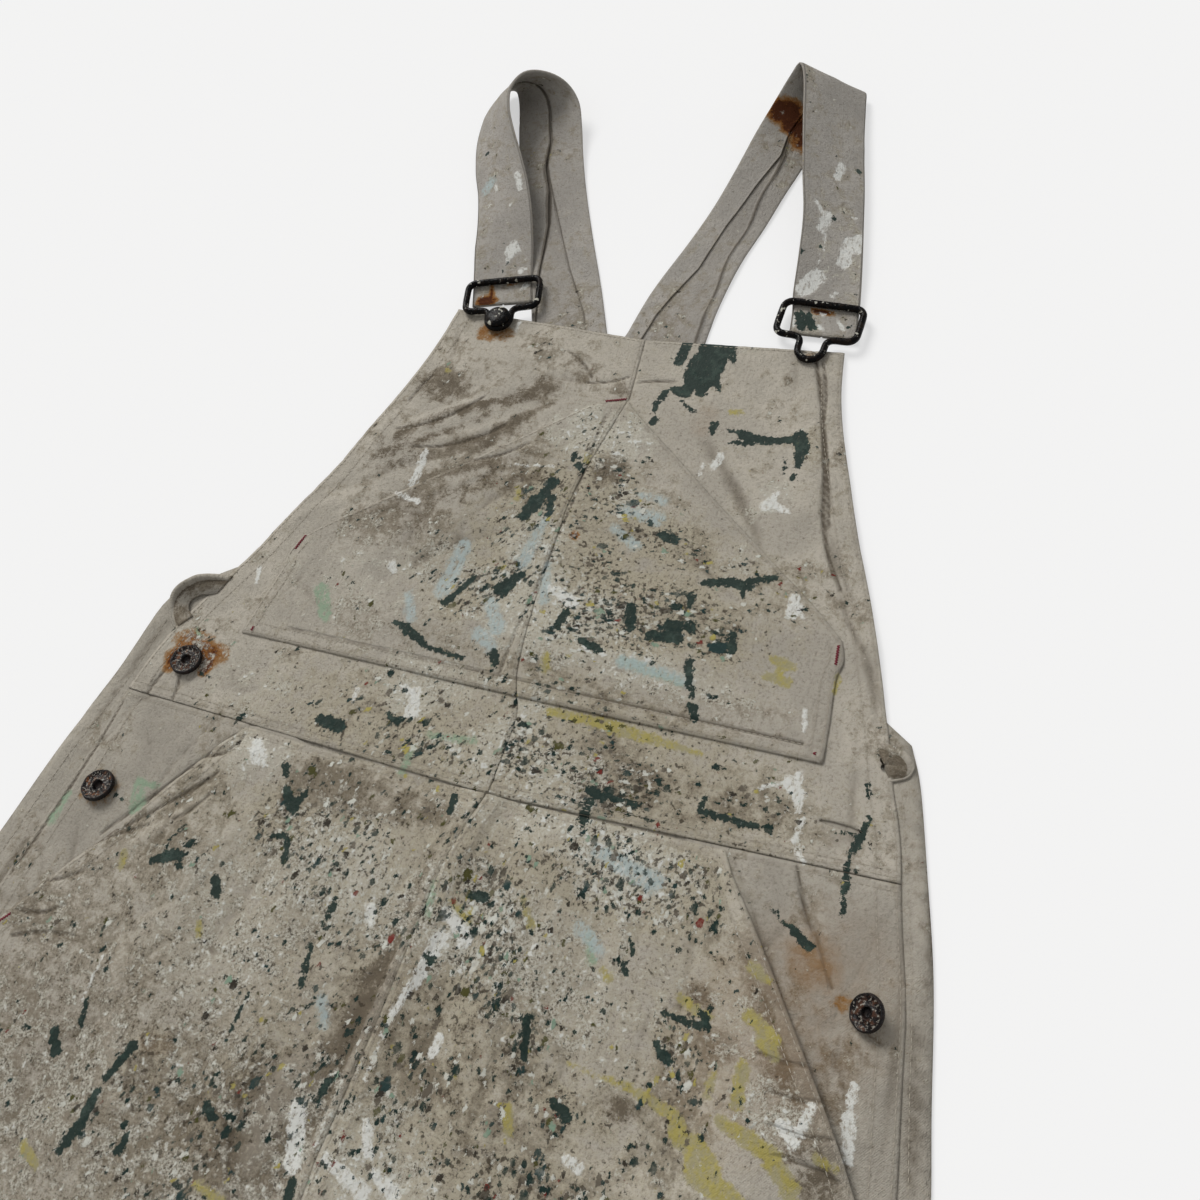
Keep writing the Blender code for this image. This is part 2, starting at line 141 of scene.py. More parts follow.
# %% [markdown]
# ## Outline of a panel
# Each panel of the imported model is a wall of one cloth. The faces that look up are its
# upper side, and the edges that only one of them uses are its outline.

# %% Outlines
FACES_UP = 0.35     # a face looks up if its unit normal rises by more than this


def upper_side(name):
    """Points, in the plan, and triangles of the upward faces of a panel's solid."""
    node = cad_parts[name]
    matrix = np.array(node.matrix_world)
    raw = np.array([tuple(vertex.co) for vertex in node.data.vertices])
    raw = to_plan(raw @ matrix[:3, :3].T + matrix[:3, 3])
    points, same = np.unique(raw.round(2), axis=0, return_inverse=True)
    same = same.reshape(-1)
    node.data.calc_loop_triangles()
    triangles = np.array([tuple(t.vertices) for t in node.data.loop_triangles])
    triangles = same[triangles]
    a, b, c = (points[triangles[:, k]] for k in range(3))
    normal = np.cross(b - a, c - a)
    size = np.linalg.norm(normal, axis=1)
    up = (size > 1e-6) & (normal[:, 2] > FACES_UP * size)
    return points, triangles[up]


def outline(points, triangles):
    """The longest closed line round a set of triangles, in the plan."""
    edges = np.concatenate([triangles[:, [0, 1]], triangles[:, [1, 2]], triangles[:, [2, 0]]])
    uses = {}
    for a, b in edges:
        uses[(a, b)] = uses.get((a, b), 0) + 1
    following = {a: b for (a, b) in uses if (b, a) not in uses}
    loops = []
    while following:
        start = next(iter(following))
        loop = [start]
        place = following.pop(start)
        while place != start and place in following:
            loop.append(place)
            place = following.pop(place)
        loops.append(loop)
    longest = max(loops, key=len)
    return points[longest][:, :2]


print("left half of the bib:", len(outline(*upper_side("bib_left"))), "points round its solid")

# %% [markdown]
# The outline is then drawn again as a smooth line, but its true corners stay sharp. Its
# points lie as close together as the mesh that will fill it.

# %% Smooth outlines
FINE = 1.9          # spacing of the mesh where the garment is seen close
COARSE = 6.0        # and far down the legs
PLAIN = 5.0         # and on the back, which is mostly covered
COARSE_BELOW = -640
CORNER = 28         # a turn above this angle, in degrees, is a corner


def curve(before, start, end, after, t):
    """A place between start and end on a smooth curve that goes on to its neighbours."""
    return 0.5 * (2 * start + (end - before) * t
                  + (2 * before - 5 * start + 4 * end - after) * t ** 2
                  + (3 * start - before - 3 * end + after) * t ** 3)


def smooth_outline(loop, spacing):
    """The loop again with points at an even spacing, smooth between its corners."""
    ahead = np.roll(loop, -1, axis=0) - loop
    ahead = ahead / np.maximum(np.linalg.norm(ahead, axis=1, keepdims=True), 1e-9)
    behind = np.roll(ahead, 1, axis=0)
    turn = np.degrees(np.arccos(np.clip((ahead * behind).sum(1), -1, 1)))
    corners = np.flatnonzero(turn > CORNER)
    if len(corners) == 0:
        corners = np.array([0])
    result, marks = [], []
    for start, end in zip(corners, np.append(corners[1:], corners[0] + len(loop))):
        run = loop[np.arange(start, end + 1) % len(loop)]
        marks.append(len(result))
        for index in range(len(run) - 1):
            p1, p2 = run[index], run[index + 1]
            p0 = run[index - 1] if index > 0 else 2 * p1 - p2
            p3 = run[index + 2] if index + 2 < len(run) else 2 * p2 - p1
            steps = max(1, int(round(np.linalg.norm(p2 - p1) / spacing(p1[1]))))
            for t in np.arange(steps) / steps:
                result.append(curve(p0, p1, p2, p3, t))
    return np.array(result), marks


def mesh_spacing(y):
    return FINE if y > COARSE_BELOW else COARSE


def plain_spacing(_):
    return PLAIN


def inside(x, y, loop):
    """Which points lie inside a closed loop."""
    result = np.zeros(len(x), bool)
    for (x0, y0), (x1, y1) in zip(loop, np.roll(loop, -1, axis=0)):
        if y0 != y1:
            crosses = (y0 > y) != (y1 > y)
            result ^= crosses & (x < (x1 - x0) * (y - y0) / (y1 - y0) + x0)
    return result


bib_outline, bib_corners = smooth_outline(outline(*upper_side("bib_left")), mesh_spacing)
print("left half of the bib:", len(bib_outline), "points,", len(bib_corners), "corners")

# %% [markdown]
# ## From outline to cloth
# A sheet that has to bend in any direction wants small triangles of one size. Rows of
# points, each row set off by half a step, fill the outline, and a Delaunay
# triangulation joins them to it. Heights come from the solid by a ray from above. The
# solid has flat facets, so the heights are relaxed until the sheet is smooth again.

# %% Triangles inside an outline
DOWN = Vector((0, 0, -1))
RAY_START = 200         # rays down to the cloth start at this height, mm
ROW_SHARE = 0.866       # height of a triangle with equal sides, as a share of a side
EDGE_GAP = 0.55         # inner points keep this share of a step from the outline


def closed(loop):
    return np.vstack([loop, loop[:1]])


def lattice(loop, spacing, low, high):
    """Offset rows of points inside an outline, between two heights of the plan."""
    x_low, y_low = loop.min(0)
    x_high, y_high = loop.max(0)
    rows = np.arange(max(y_low, low) + 0.4 * spacing, min(y_high, high), ROW_SHARE * spacing)
    points = []
    for index, y in enumerate(rows):
        xs = np.arange(x_low + spacing * (0.25 + 0.5 * (index % 2)), x_high, spacing)
        points.append(np.column_stack([xs, np.full(len(xs), y)]))
    if not points:
        return np.zeros((0, 2))
    points = np.concatenate(points)
    points = points[inside(points[:, 0], points[:, 1], loop)]
    return points[to_path(points[:, 0], points[:, 1], closed(loop)) > EDGE_GAP * spacing]


def triangulate(loop, fine=FINE, hole=None):
    """Points in the plan and triangles that fill an outline, round a hole if there is one."""
    rings = [loop] if hole is None else [loop, hole]
    points = [lattice(loop, COARSE, -1e4, COARSE_BELOW), lattice(loop, fine, COARSE_BELOW, 1e4)]
    points = np.concatenate(points)
    if hole is not None:
        away = to_path(points[:, 0], points[:, 1], closed(hole)) > 0.5 * FINE
        points = points[away & ~inside(points[:, 0], points[:, 1], hole)]
    edges, start = [], 0
    for ring in rings:
        edges += [(start + k, start + (k + 1) % len(ring)) for k in range(len(ring))]
        start += len(ring)
    everything = [Vector(p) for p in np.concatenate([*rings, points])]
    placed, _, faces, *_ = delaunay_2d_cdt(everything, edges, [], 1, 1e-4)
    placed = np.array([tuple(p) for p in placed])
    faces = np.array([tuple(f) for f in faces if len(f) == 3])
    if hole is not None:
        middle = placed[faces].mean(1)
        faces = faces[~inside(middle[:, 0], middle[:, 1], hole)]
    return placed, faces


def solid_height(name, x, y):
    """Height in mm of the upper side of a panel's solid at points of the plan."""
    points, triangles = upper_side(name)
    tree = BVHTree.FromPolygons([tuple(p) for p in points], [tuple(t) for t in triangles])
    result = np.zeros(len(x))
    for index in range(len(x)):
        hit = tree.ray_cast(Vector((x[index], y[index], RAY_START)), DOWN)[0]
        if hit is None:
            hit = tree.find_nearest(Vector((x[index], y[index], 3)))[0]
        result[index] = hit.z
    return result


def relax(values, triangles, rounds):
    """Values drawn towards their neighbours' mean, a number of times."""
    a = triangles.reshape(-1)
    b = np.roll(triangles, -1, axis=1).reshape(-1)
    size = len(values)
    count = np.bincount(a, minlength=size) + np.bincount(b, minlength=size)
    for _ in range(rounds):
        total = np.bincount(a, values[b], size) + np.bincount(b, values[a], size)
        values = 0.5 * values + 0.5 * total / np.maximum(count, 1)
    return values


test_points, test_faces = triangulate(bib_outline)
print("left half of the bib:", len(test_points), "points,", len(test_faces), "triangles")

# %% [markdown]
# ## Creases
# Cloth that has been worn and dried keeps its creases. Each one here is a soft ridge or
# trough along a bowed line, with its own height and half width. A ridge has a positive
# height. They are listed one by one, with one table for each kind of panel.

# %% Crease tables
Crease = namedtuple("Crease", "x0 y0 x1 y1 bow height half")


def table_of(kind, *rows):
    """A table whose rows are named tuples of one kind."""
    return tuple(kind(*row) for row in rows)


BIB_CREASES = table_of(
    Crease,
    # foot of the roll inside the right edge
    (114, 8, 131, -42, 1, -1.5, 3.2), (131, -42, 147, -111, 1, -1.7, 3),
    (147, -111, 167, -156, -2, -1.8, 3.2), (167, -156, 187, -190, -2, -1.4, 4),
    (187, -190, 203, -236, 2, -1.2, 4.5), (121, 2, 133, -48, 2, -0.9, 2.6),
    (133, -48, 152, -118, 1, -1, 3), (152, -118, 190, -180, -3, -0.9, 4),
    (66, -72, 118, -140, 3, -1.2, 7), (76, -70, 126, -132, 3, 0.9, 7),
    (104, 4, 110, -34, 1, -0.6, 4), (10, -33, 34, -29, 1, -0.7, 2.6),
    (-62, -44, -24, -38, 3, -0.9, 4), (-24, -38, 2, -30, -2, -0.7, 3.5),
    (-58, -34, -16, -30, 2, 0.8, 6), (-140, -96, -88, -62, -6, -0.9, 3.6),
    (-132, -88, -84, -54, -5, 0.9, 6), (-122, -108, -66, -80, -5, -0.9, 3.6),
    (-112, -100, -62, -72, -4, 0.9, 6), (-141, -72, -133, -50, 1, -0.9, 2.6),
    (-132, -4, -124, -38, 2, -0.7, 4), (-44, -16, -22, -34, 2, -0.6, 3),
    (-172, -150, -120, -118, -3, -0.8, 6), (-190, -182, -150, -150, 3, 0.9, 8),
    (-208, -292, -204, -312, 1, -0.8, 3), (-218, -292, -222, -314, -2, -0.9, 3),
    (-196, -278, -176, -262, 2, -0.5, 4), (196, -244, 205, -300, -2, -0.8, 4),
    (186, -236, 196, -262, 2, 0.8, 5),
)
POCKET_CREASES = table_of(
    Crease,
    # feet of the middle seam
    (-3, -64, -8, -250, 2, -0.6, 3), (-36, -96, -60, -140, 4, -0.8, 5),
    (-84, -112, -46, -92, -3, -0.7, 3.6), (-112, -146, -60, -116, -4, -0.9, 5),
    (-100, -140, -58, -108, -4, 0.8, 6), (-150, -172, -110, -146, -3, -0.8, 4),
    (-128, -158, -88, -160, 4, -0.7, 5), (-10, -150, -36, -214, 3, -1, 6),
    (-24, -146, -48, -206, 3, 0.9, 7), (-104, -206, -40, -158, 5, -0.7, 7),
    (60, -150, 104, -168, 3, -0.7, 4), (84, -154, 118, -178, -2, -0.6, 4),
    (20, -118, 60, -104, 3, -0.6, 5), (-164, -212, -120, -236, -3, -0.6, 6),
    (40, -232, 140, -238, 2, -0.6, 6), (-150, -249, 168, -250, 0, -0.35, 1.6),
)
LEG_CREASES = table_of(
    Crease,
    # crumples beside the left pocket
    (-146, -320, -152, -334, 2, -1.3, 2.6), (-152, -334, -180, -341, 1, -1.5, 2.6),
    (-180, -341, -226, -356, 3, -1.3, 3), (-150, -326, -206, -336, 3, 1.6, 6),
    (-176, -352, -160, -344, 1, -0.9, 3), (-150, -345, -204, -397, 3, -1.4, 3.6),
    (-204, -397, -240, -426, -2, -1.1, 3.6), (-140, -346, -190, -404, 3, 1.5, 6.5),
    (-162, -378, -146, -352, -2, -0.8, 3), (-214, -382, -184, -372, -2, -0.8, 3),
    (-216, -410, -176, -384, 2, -1, 3), (-234, -430, -204, -418, -3, -0.9, 2.4),
    (-232, -448, -204, -438, -3, -1, 2.4), (-228, -462, -190, -452, 2, -0.8, 3),
    (-236, -318, -244, -360, 2, -1, 3.5),
    # valley beside the front rise
    (-2, -345, -9, -425, 0, -0.9, 6), (-9, -425, -20, -530, 0, -1.1, 8),
    # and the soft ridge along it
    (-3, -330, -5, -430, 0, 1.7, 5), (-5, -430, -10, -530, 0, 2, 5),
    (-12, -540, -14, -620, 3, -1.2, 13), (-44, -340, -40, -540, 3, 1.2, 16),
    (-54, -478, -42, -540, -6, -0.7, 2.6), (-120, -340, -150, -440, 6, 1.1, 12),
    (-96, -350, -116, -450, 5, -1, 9), (-160, -440, -120, -520, -5, 0.9, 12),
    (-90, -470, -76, -560, 3, -0.8, 8), (30, -330, 26, -460, 2, -0.7, 7),
    (58, -340, 62, -520, 2, -0.9, 4), (66, -340, 70, -520, 2, 0.8, 6),
    (104, -350, 112, -470, -3, 0.8, 9), (138, -346, 142, -480, 3, -0.8, 6),
    (144, -320, 194, -390, 0, 2.4, 9), (194, -390, 243, -458, 0, 2.2, 9),
    (176, -372, 206, -428, 2, -1.2, 4), (184, -404, 212, -402, -2, -0.8, 3),
    (190, -418, 218, -416, -2, -0.9, 3), (196, -432, 224, -430, -2, -0.9, 3),
    (200, -444, 230, -446, 2, -0.8, 3), (120, -470, 200, -510, 5, 1, 12),
    (-210, -560, -190, -700, 6, -1.4, 12), (-90, -600, -110, -820, 8, -1.4, 12),
    (-230, -760, -240, -980, 6, -1.3, 12), (-150, -900, -170, -1100, -8, 1.4, 14),
    (-120, -1150, -280, -1190, 10, -1.2, 10), (90, -640, 120, -800, 6, -1.4, 12),
    (200, -560, 240, -760, -8, -1.4, 13), (150, -800, 180, -1010, 6, 1.4, 14),
    (250, -900, 262, -1120, 6, -1.3, 12), (130, -1120, 290, -1180, -10, -1.2, 10),
    (190, -1180, 210, -1320, 5, 1.2, 12),
)
FACING_CREASES = table_of(
    Crease,
    # hollow under the pocket mouth
    (150, -320, 198, -392, 0, -1, 4), (198, -392, 240, -456, 0, -1, 4),
    (-152, -320, -206, -396, 0, -1, 3.6), (180, -313, 193, -340, -1, -1.4, 3),
    (193, -340, 209, -366, 1, -1.3, 3.4), (190, -318, 204, -352, 2, 1.2, 6),
    (214, -392, 229, -422, 2, -1, 4), (236, -384, 222, -376, 1, -0.8, 3),
    (226, -386, 240, -430, -3, 0.9, 5), (234, -318, 246, -440, 2, -0.9, 4),
    (-236, -318, -250, -430, 2, -1, 3.5), (-226, -392, -212, -436, 2, -1, 4),
    (-214, -330, -196, -352, 2, -0.9, 4),
)
BACK_CREASES = table_of(
    Crease, (-236, -262, -250, -360, -3, -1.6, 5), (-243, -256, -262, -400, -3, 2, 6),
    (-252, -390, -262, -470, 2, -1.4, 5), (236, -270, 252, -380, 3, -1.6, 5),
    (228, -262, 246, -360, 3, 1.8, 6), (247, -370, 260, -450, 2, -1.6, 4),
)
print("creases", sum(len(table) for table in (BIB_CREASES, POCKET_CREASES, LEG_CREASES,
                                             FACING_CREASES, BACK_CREASES)))

# %% [markdown]
# A crease fades towards its ends and wanders a little in width. For the crisp ones each
# vertex also learns its distance to the fold, where the material paints a dark shadow line.
# Between the creases the cloth is crumpled: swollen, with a net of fine valleys.

# %% Shape of a crease
def crease_path(crease, steps=5):
    """Bowed line of a crease, as a few points of the plan."""
    start = np.array([crease.x0, crease.y0], float)
    end = np.array([crease.x1, crease.y1], float)
    t = np.linspace(0, 1, steps + 1)[:, None]
    side = np.array([start[1] - end[1], end[0] - start[0]])
    side = side / max(np.linalg.norm(side), 1e-9)
    return start + (end - start) * t + side * crease.bow * 4 * t * (1 - t)


def near_path(x, y, path, reach):
    """Which points lie within reach mm of the box round a path."""
    low, high = np.min(path, 0) - reach, np.max(path, 0) + reach
    return (x > low[0]) & (x < high[0]) & (y > low[1]) & (y < high[1])


def crease_relief(x, y, table):
    """Height in mm that a table of creases adds, strongest in the middle of each."""
    relief = np.zeros(len(x))
    for crease in table:
        path = crease_path(crease)
        near = near_path(x, y, path, crease.half * 1.6)
        if not near.any():
            continue
        px, py = x[near], y[near]
        best = np.full(len(px), 1e9)
        along = np.zeros(len(px))
        for index, (start, end) in enumerate(zip(path, path[1:])):
            distance, t = to_segment(px, py, *start, *end)
            closer = distance < best
            best = np.where(closer, distance, best)
            along = np.where(closer, (index + t) / (len(path) - 1), along)
        wander = 1 + 0.35 * soft_noise(px, py, 9, seed=3)
        t = np.clip(best / (crease.half * wander), 0, 1)
        profile = 0.5 * (1 - t * t) ** 2 + 0.5 * (1 - t) ** 2
        fade = 0.35 + 0.65 * np.sin(math.pi * np.clip(along, 0.02, 0.98)) ** 0.6
        relief[near] += crease.height * profile * fade
    return relief


FOLD_HALF = 3.7         # creases narrower than this are crisp folds
FOLD_FAR = 8.0          # a distance that means no fold, mm


def fold_distance(x, y, table):
    """Distance in mm to the nearest crisp fold of a table."""
    best = np.full(len(x), FOLD_FAR)
    for crease in table:
        if crease.half > FOLD_HALF or crease.height > 0:
            continue
        path = crease_path(crease)
        near = near_path(x, y, path, FOLD_FAR)
        if near.any():
            best[near] = np.minimum(best[near], to_path(x[near], y[near], path))
    return best


def crumple(x, y, size, turn, seed):
    """A net of fine valleys with swollen cloth between them, from -1 to about 0.3."""
    bend_x = x + 0.5 * size * soft_noise(x, y, size * 1.3, seed=seed + 1)
    bend_y = y + 0.5 * size * soft_noise(x, y, size * 1.3, seed=seed + 2)
    value = np.abs(soft_noise(bend_x, bend_y, size, turn, 1.9, seed))
    valley = np.clip(1 - value / 0.16, 0, 1) ** 2
    return 0.3 * np.minimum(value / 0.5, 1) - valley


print("first crease, from and to", crease_path(BIB_CREASES[0])[[0, -1]].tolist())

# %% [markdown]
# ## Sewn edges
# Every edge of a panel is either sewn to its neighbour or turned under as a hem. Both are
# two cloths thick for about a centimetre, with one or two rows of stitches. A table names
# the sides of each panel by the plan points where they start and end.

# %% Sides
# Hem width, stitch insets and rise of the hem, all in mm.
Side = namedtuple("Side", "x0 y0 x1 y1 hem rows rise", defaults=(0.05,))
SIDES = {
    "back_left": table_of(
        Side, (-98, -1352, -335, -1352, 20, (18,)), (-247, -258, -283, -520, 11, (9.6,))),
    "back_right": table_of(
        Side, (90, -1352, 327, -1352, 20, (18,)), (230, -258, 275, -520, 11, (9.6,))),
    "leg_front_left": table_of(
        Side, (10, -319, -4, -602, 0, (2.6,)), (10, -319, -146, -317, 0, (2.4,)),
        (-146, -317, -250, -462, 9, (2, 8.4)), (-94, -1352, -330, -1352, 20, (18,)),
        (-266, -495, -330, -1352, 0, (2.4,))),
    "leg_front_right": table_of(
        Side, (10, -319, -4, -602, 11, (2.4, 8.6), 1.3), (10, -319, 146, -317, 0, (2.4,)),
        (146, -317, 245, -462, 9, (2, 8.4)), (94, -1352, 330, -1352, 20, (18,)),
        (266, -495, 330, -1352, 0, (2.4,))),
    "pocket_facing_left": table_of(
        Side, (-238, -311, -262, -474, 13, (2.2, 12)), (-238, -311, -116, -315, 0, (2.4,))),
    "pocket_facing_right": table_of(
        Side, (230, -311, 256, -474, 13, (2.2, 12)), (230, -311, 108, -315, 0, (2.4,))),
    "bib_left": table_of(
        Side, (-136, 8, -236, -309, 13, (2.2, 12)), (-136, 8, 3, 2, 11, (2,)),
        (3, 2, 10, -317, 0, (2.4,)), (-236, -309, 10, -317, 0, (2.4, 5.6))),
    "bib_right": table_of(
        Side, (134, 8, 228, -309, 13, (2.2, 12)), (134, 8, 3, 2, 11, (2,)),
        (3, 2, 10, -317, 0, ()), (228, -309, 10, -317, 0, (2.4, 5.6))),
    "bib_pocket_left": table_of(
        Side, (8, -49, 8, -259, 0, (2.4,)), (-14, -56, -171, -187, 9, (2,)),
        (-171, -187, -180, -258, 8, (1.8, 7.4)), (-180, -258, 8, -259, 9, (1.8, 8))),
    "bib_pocket_right": table_of(
        Side, (8, -49, 8, -259, 0, ()), (13, -56, 175, -187, 9, (2,)),
        (175, -187, 180, -258, 8, (1.8, 7.4)), (180, -258, 8, -259, 9, (1.8, 8))),
}
print("sides", sum(len(sides) for sides in SIDES.values()), "on", len(SIDES), "panels")

# %% [markdown]
# A side is the part of a panel's outline between two named points. Rows of stitches run
# inside it. They pull the cloth down and draw up small puckers, and a hem stands a little
# higher than the single cloth.

# %% Hems and stitch rows
def side_path(loop, side):
    """The part of an outline that runs from one named point to another."""
    first = int(np.argmin(np.hypot(loop[:, 0] - side.x0, loop[:, 1] - side.y0)))
    last = int(np.argmin(np.hypot(loop[:, 0] - side.x1, loop[:, 1] - side.y1)))
    count = len(loop)
    forward = loop[np.arange(first, first + (last - first) % count + 1) % count]
    backward = loop[np.arange(first, first - (first - last) % count - 1, -1) % count]
    length = [np.linalg.norm(np.diff(path, axis=0), axis=1).sum() for path in (forward, backward)]
    return forward if length[0] <= length[1] else backward


def inset_path(path, loop, inset):
    """A path moved into the panel by inset mm, without its last few mm at each end."""
    ahead = np.gradient(path, axis=0)
    ahead /= np.maximum(np.linalg.norm(ahead, axis=1, keepdims=True), 1e-9)
    side = np.column_stack([-ahead[:, 1], ahead[:, 0]])
    middle = len(path) // 2
    probe = path[middle] + side[middle] * 0.8
    if not inside(probe[:1], probe[1:], loop)[0]:
        side = -side
    moved = path + side * inset
    keep = inside(moved[:, 0], moved[:, 1], loop)
    away = to_path(moved[:, 0], moved[:, 1], path)
    return moved[keep & (away > 0.8 * inset)]


EDGE_ROUND = 0.7        # the last mm of an edge turn down
HEM_PRESS = 0.32        # and its very edge is pressed flat by this much, mm
SEAM_PRESS = 0.12       # a seam pulls both of its panels down
EDGE_DROP = 0.22        # how far an edge that isn't sewn down turns, mm
STITCH_GROOVE = 0.06    # depth that a row of stitches presses in, mm
NO_STITCH = 30.0        # a distance that means no stitches, mm
PUCKER = 0.18           # height of the puckers that a row of stitches draws up, mm


def sewn_relief(x, y, loop, sides):
    """Height that hems and stitch rows add, with the distance to edge and to stitches."""
    relief = np.zeros(len(x))
    edge = to_path(x, y, closed(loop))
    stitch, seam = np.full(len(x), NO_STITCH), np.full(len(x), NO_STITCH)
    rows = []
    for side in sides:
        path = side_path(loop, side)
        near = to_path(x, y, path)
        if side.hem:
            relief += side.rise * (1 - smooth_step(near, side.hem - 1.0, side.hem + 1.2))
            relief -= HEM_PRESS * (1 - smooth_step(near, 0.2, 2.4))
        else:
            relief -= SEAM_PRESS * (1 - smooth_step(near, 0.3, 6.0))
            seam = np.minimum(seam, near)
        for inset in side.rows:
            row = inset_path(path, loop, inset)
            if len(row) < 3:
                continue
            rows.append(row)
            off = to_path(x, y, row[::2])
            stitch = np.minimum(stitch, off)
            relief -= STITCH_GROOVE * np.exp(-(off / 1.1) ** 2)
            draw = soft_noise(x, y, 4.0, seed=5) * (1 - smooth_step(off, 1.5, 8))
            relief += PUCKER * draw
    drop = np.clip(1 - edge / EDGE_ROUND, 0, 1) * smooth_step(seam, 0.4, 2.5)
    relief -= EDGE_DROP * (1 - np.sqrt(1 - np.minimum(drop, 0.999) ** 2))
    return relief, edge, stitch, rows


for side in SIDES["bib_left"]:
    path = side_path(bib_outline, side)
    print("bib side", [round(v) for v in (*path[0], *path[-1])], len(path), "points")

# %% [markdown]
# ## Paint marks
# The large marks are put where they are on the garment, as short strokes with a half width
# at each end. Each vertex stores its distance to the nearest stroke, and the material breaks
# up the edge of that shape with noise, so a few strokes give a ragged blot.

# %% Strokes
Stroke = namedtuple("Stroke", "x0 y0 x1 y1 w0 w1")
GREEN_STROKES = table_of(
    Stroke,
    # painted shade in the open part of the empty buttonhole
    (193, -291, 207, -290, 0.7, 1.3),
    # patch at the top of the bib
    (52, 14, 51, -12, 10, 11), (46, -10, 44, -24, 8, 7), (52, -20, 52, -34, 7, 4),
    (62, 4, 66, -8, 3, 1.5), (58, -22, 63, -31, 3, 1), (45, -28, 42, -36, 5, 4),
    (42, -37, 35, -35, 3.6, 3), (33, 10, 31, -13, 3.4, 3.4), (28, -42, 30, -37, 2.4, 2),
    (27, -46, 26, -52, 2.2, 1.8), (29, -59, 28, -62, 2.5, 2.3), (67, -57, 67, -63, 2.6, 2.2),
    (41, -43, 52, -50, 1, 1.2),
    # painted shade in the open tails of the left buttonholes
    (-194, -289, -186, -291, 1, 0.4), (-209, -373, -203, -374, 1, 0.4),
    # streak to the right edge of the bib
    (77, -60, 87, -61, 1.4, 1.8), (80, -69, 93, -67, 1.2, 2.2), (88, -63, 100, -64, 3.4, 3),
    (100, -64, 118, -61, 3, 2.6), (121, -60, 125, -68, 5, 4.4), (124, -70, 125, -79, 3, 2.6),
    (124, -87, 124, -89, 2, 2), (116, -74, 118, -86, 1, 0.7),
    # streak at the pocket's right edge
    (130, -156, 116, -162, 1.8, 2.6), (116, -164, 106, -165, 3.6, 2.8),
    (114, -166, 115, -172, 2.4, 1.2), (106, -164, 91, -168, 2.8, 2.2),
    # drip down to the pocket's foot
    (97, -218, 100, -230, 2.4, 2.2), (102, -233, 104, -238, 2, 1.6),
    (106, -244, 109, -250, 3.2, 2), (125, -290, 126, -298, 1.2, 2.2),
    (126, -298, 155, -299, 1.5, 2),
    # run down the right side
    (205, -264, 206, -269, 1.6, 1.2), (209, -280, 207, -292, 1.2, 1.8),
    (207, -292, 204, -300, 2.2, 1.6), (203, -304, 205, -320, 1.2, 2),
    (205, -322, 206, -332, 1.2, 0.8), (174, -338, 183, -343, 1, 1.4),
    (183, -343, 195, -350, 1.6, 2.6),
    # left of the pocket's middle
    (-19, -117, -26, -132, 2.4, 4.4), (-26, -132, -30, -144, 5, 4), (-17, -129, -16, -137, 3, 2),
    (-13, -95, -13, -99, 2, 2), (-8, -103, -4, -107, 2.6, 1.8), (-18, -184, -28, -196, 3, 4.2),
    (-22, -192, -24, -201, 3.6, 1.6), (-46, -192, -57, -212, 1.8, 2.8),
    (-83, -231, -74, -233, 1.6, 2.6), (-74, -234, -60, -240, 3, 2.2),
    (-58, -242, -34, -244, 1.2, 1.6), (-15, -238, -13, -242, 3, 3),
    (18, -203, 16, -213, 2.8, 2.6), (58, -141, 66, -143, 3, 3.2), (87, -178, 88, -184, 2.4, 2),
    (55, -192, 58, -204, 3.2, 3.2), (80, -199, 92, -197, 3.8, 3), (70, -207, 86, -205, 2.6, 4.4),
    (116, -196, 118, -205, 2, 3), (32, -219, 45, -222, 2, 2.6), (64, -301, 73, -303, 2.2, 3),
    (67, -308, 66, -318, 2.2, 2.8), (76, -302, 92, -303, 2, 1.2),
    (-104, -299, -92, -300, 3.4, 4.4), (-66, -286, -57, -290, 1.6, 2.2),
    # left leg
    (-111, -331, -109, -336, 2.6, 1.6), (-105, -344, -97, -352, 2.6, 4.2),
    (-97, -352, -93, -343, 3, 2), (-91, -371, -88, -383, 2, 2.2), (-103, -371, -95, -368, 1.4, 2),
    (-164, -402, -152, -396, 2, 4), (-148, -394, -145, -401, 1.6, 1.8),
    (-123, -401, -118, -408, 2.4, 3), (-76, -450, -77, -469, 0.8, 1.3),
    (-164, -479, -162, -491, 1.3, 1.7), (-175, -499, -169, -507, 2.8, 3.2),
    (-124, -492, -131, -511, 2.8, 1.8), (-133, -518, -134, -536, 2.2, 3.4),
    (-135, -537, -139, -546, 3, 2.6), (-107, -531, -107, -538, 2.2, 2.6),
    (-73, -505, -67, -509, 2, 2.8), (-53, -418, -50, -438, 1.4, 1.8),
    (-50, -392, -51, -406, 1.4, 1.6), (-7, -323, -6, -331, 2.4, 2.4),
    (-14, -523, -13, -529, 2.8, 2.8), (-16, -475, -17, -485, 1.6, 2),
    # right leg
    (24, -371, 30, -370, 2.6, 2.4), (12, -407, 15, -408, 2, 2.2), (110, -371, 112, -376, 1, 1.5),
    (110, -382, 111, -386, 1.6, 1.8), (136, -399, 158, -400, 1.6, 1.8),
    (136, -414, 143, -419, 2, 2.6), (152, -393, 156, -397, 1.6, 2.4),
    (72, -420, 76, -437, 2, 2.2), (96, -452, 104, -456, 2, 3.2), (66, -507, 78, -505, 1.4, 1.8),
)
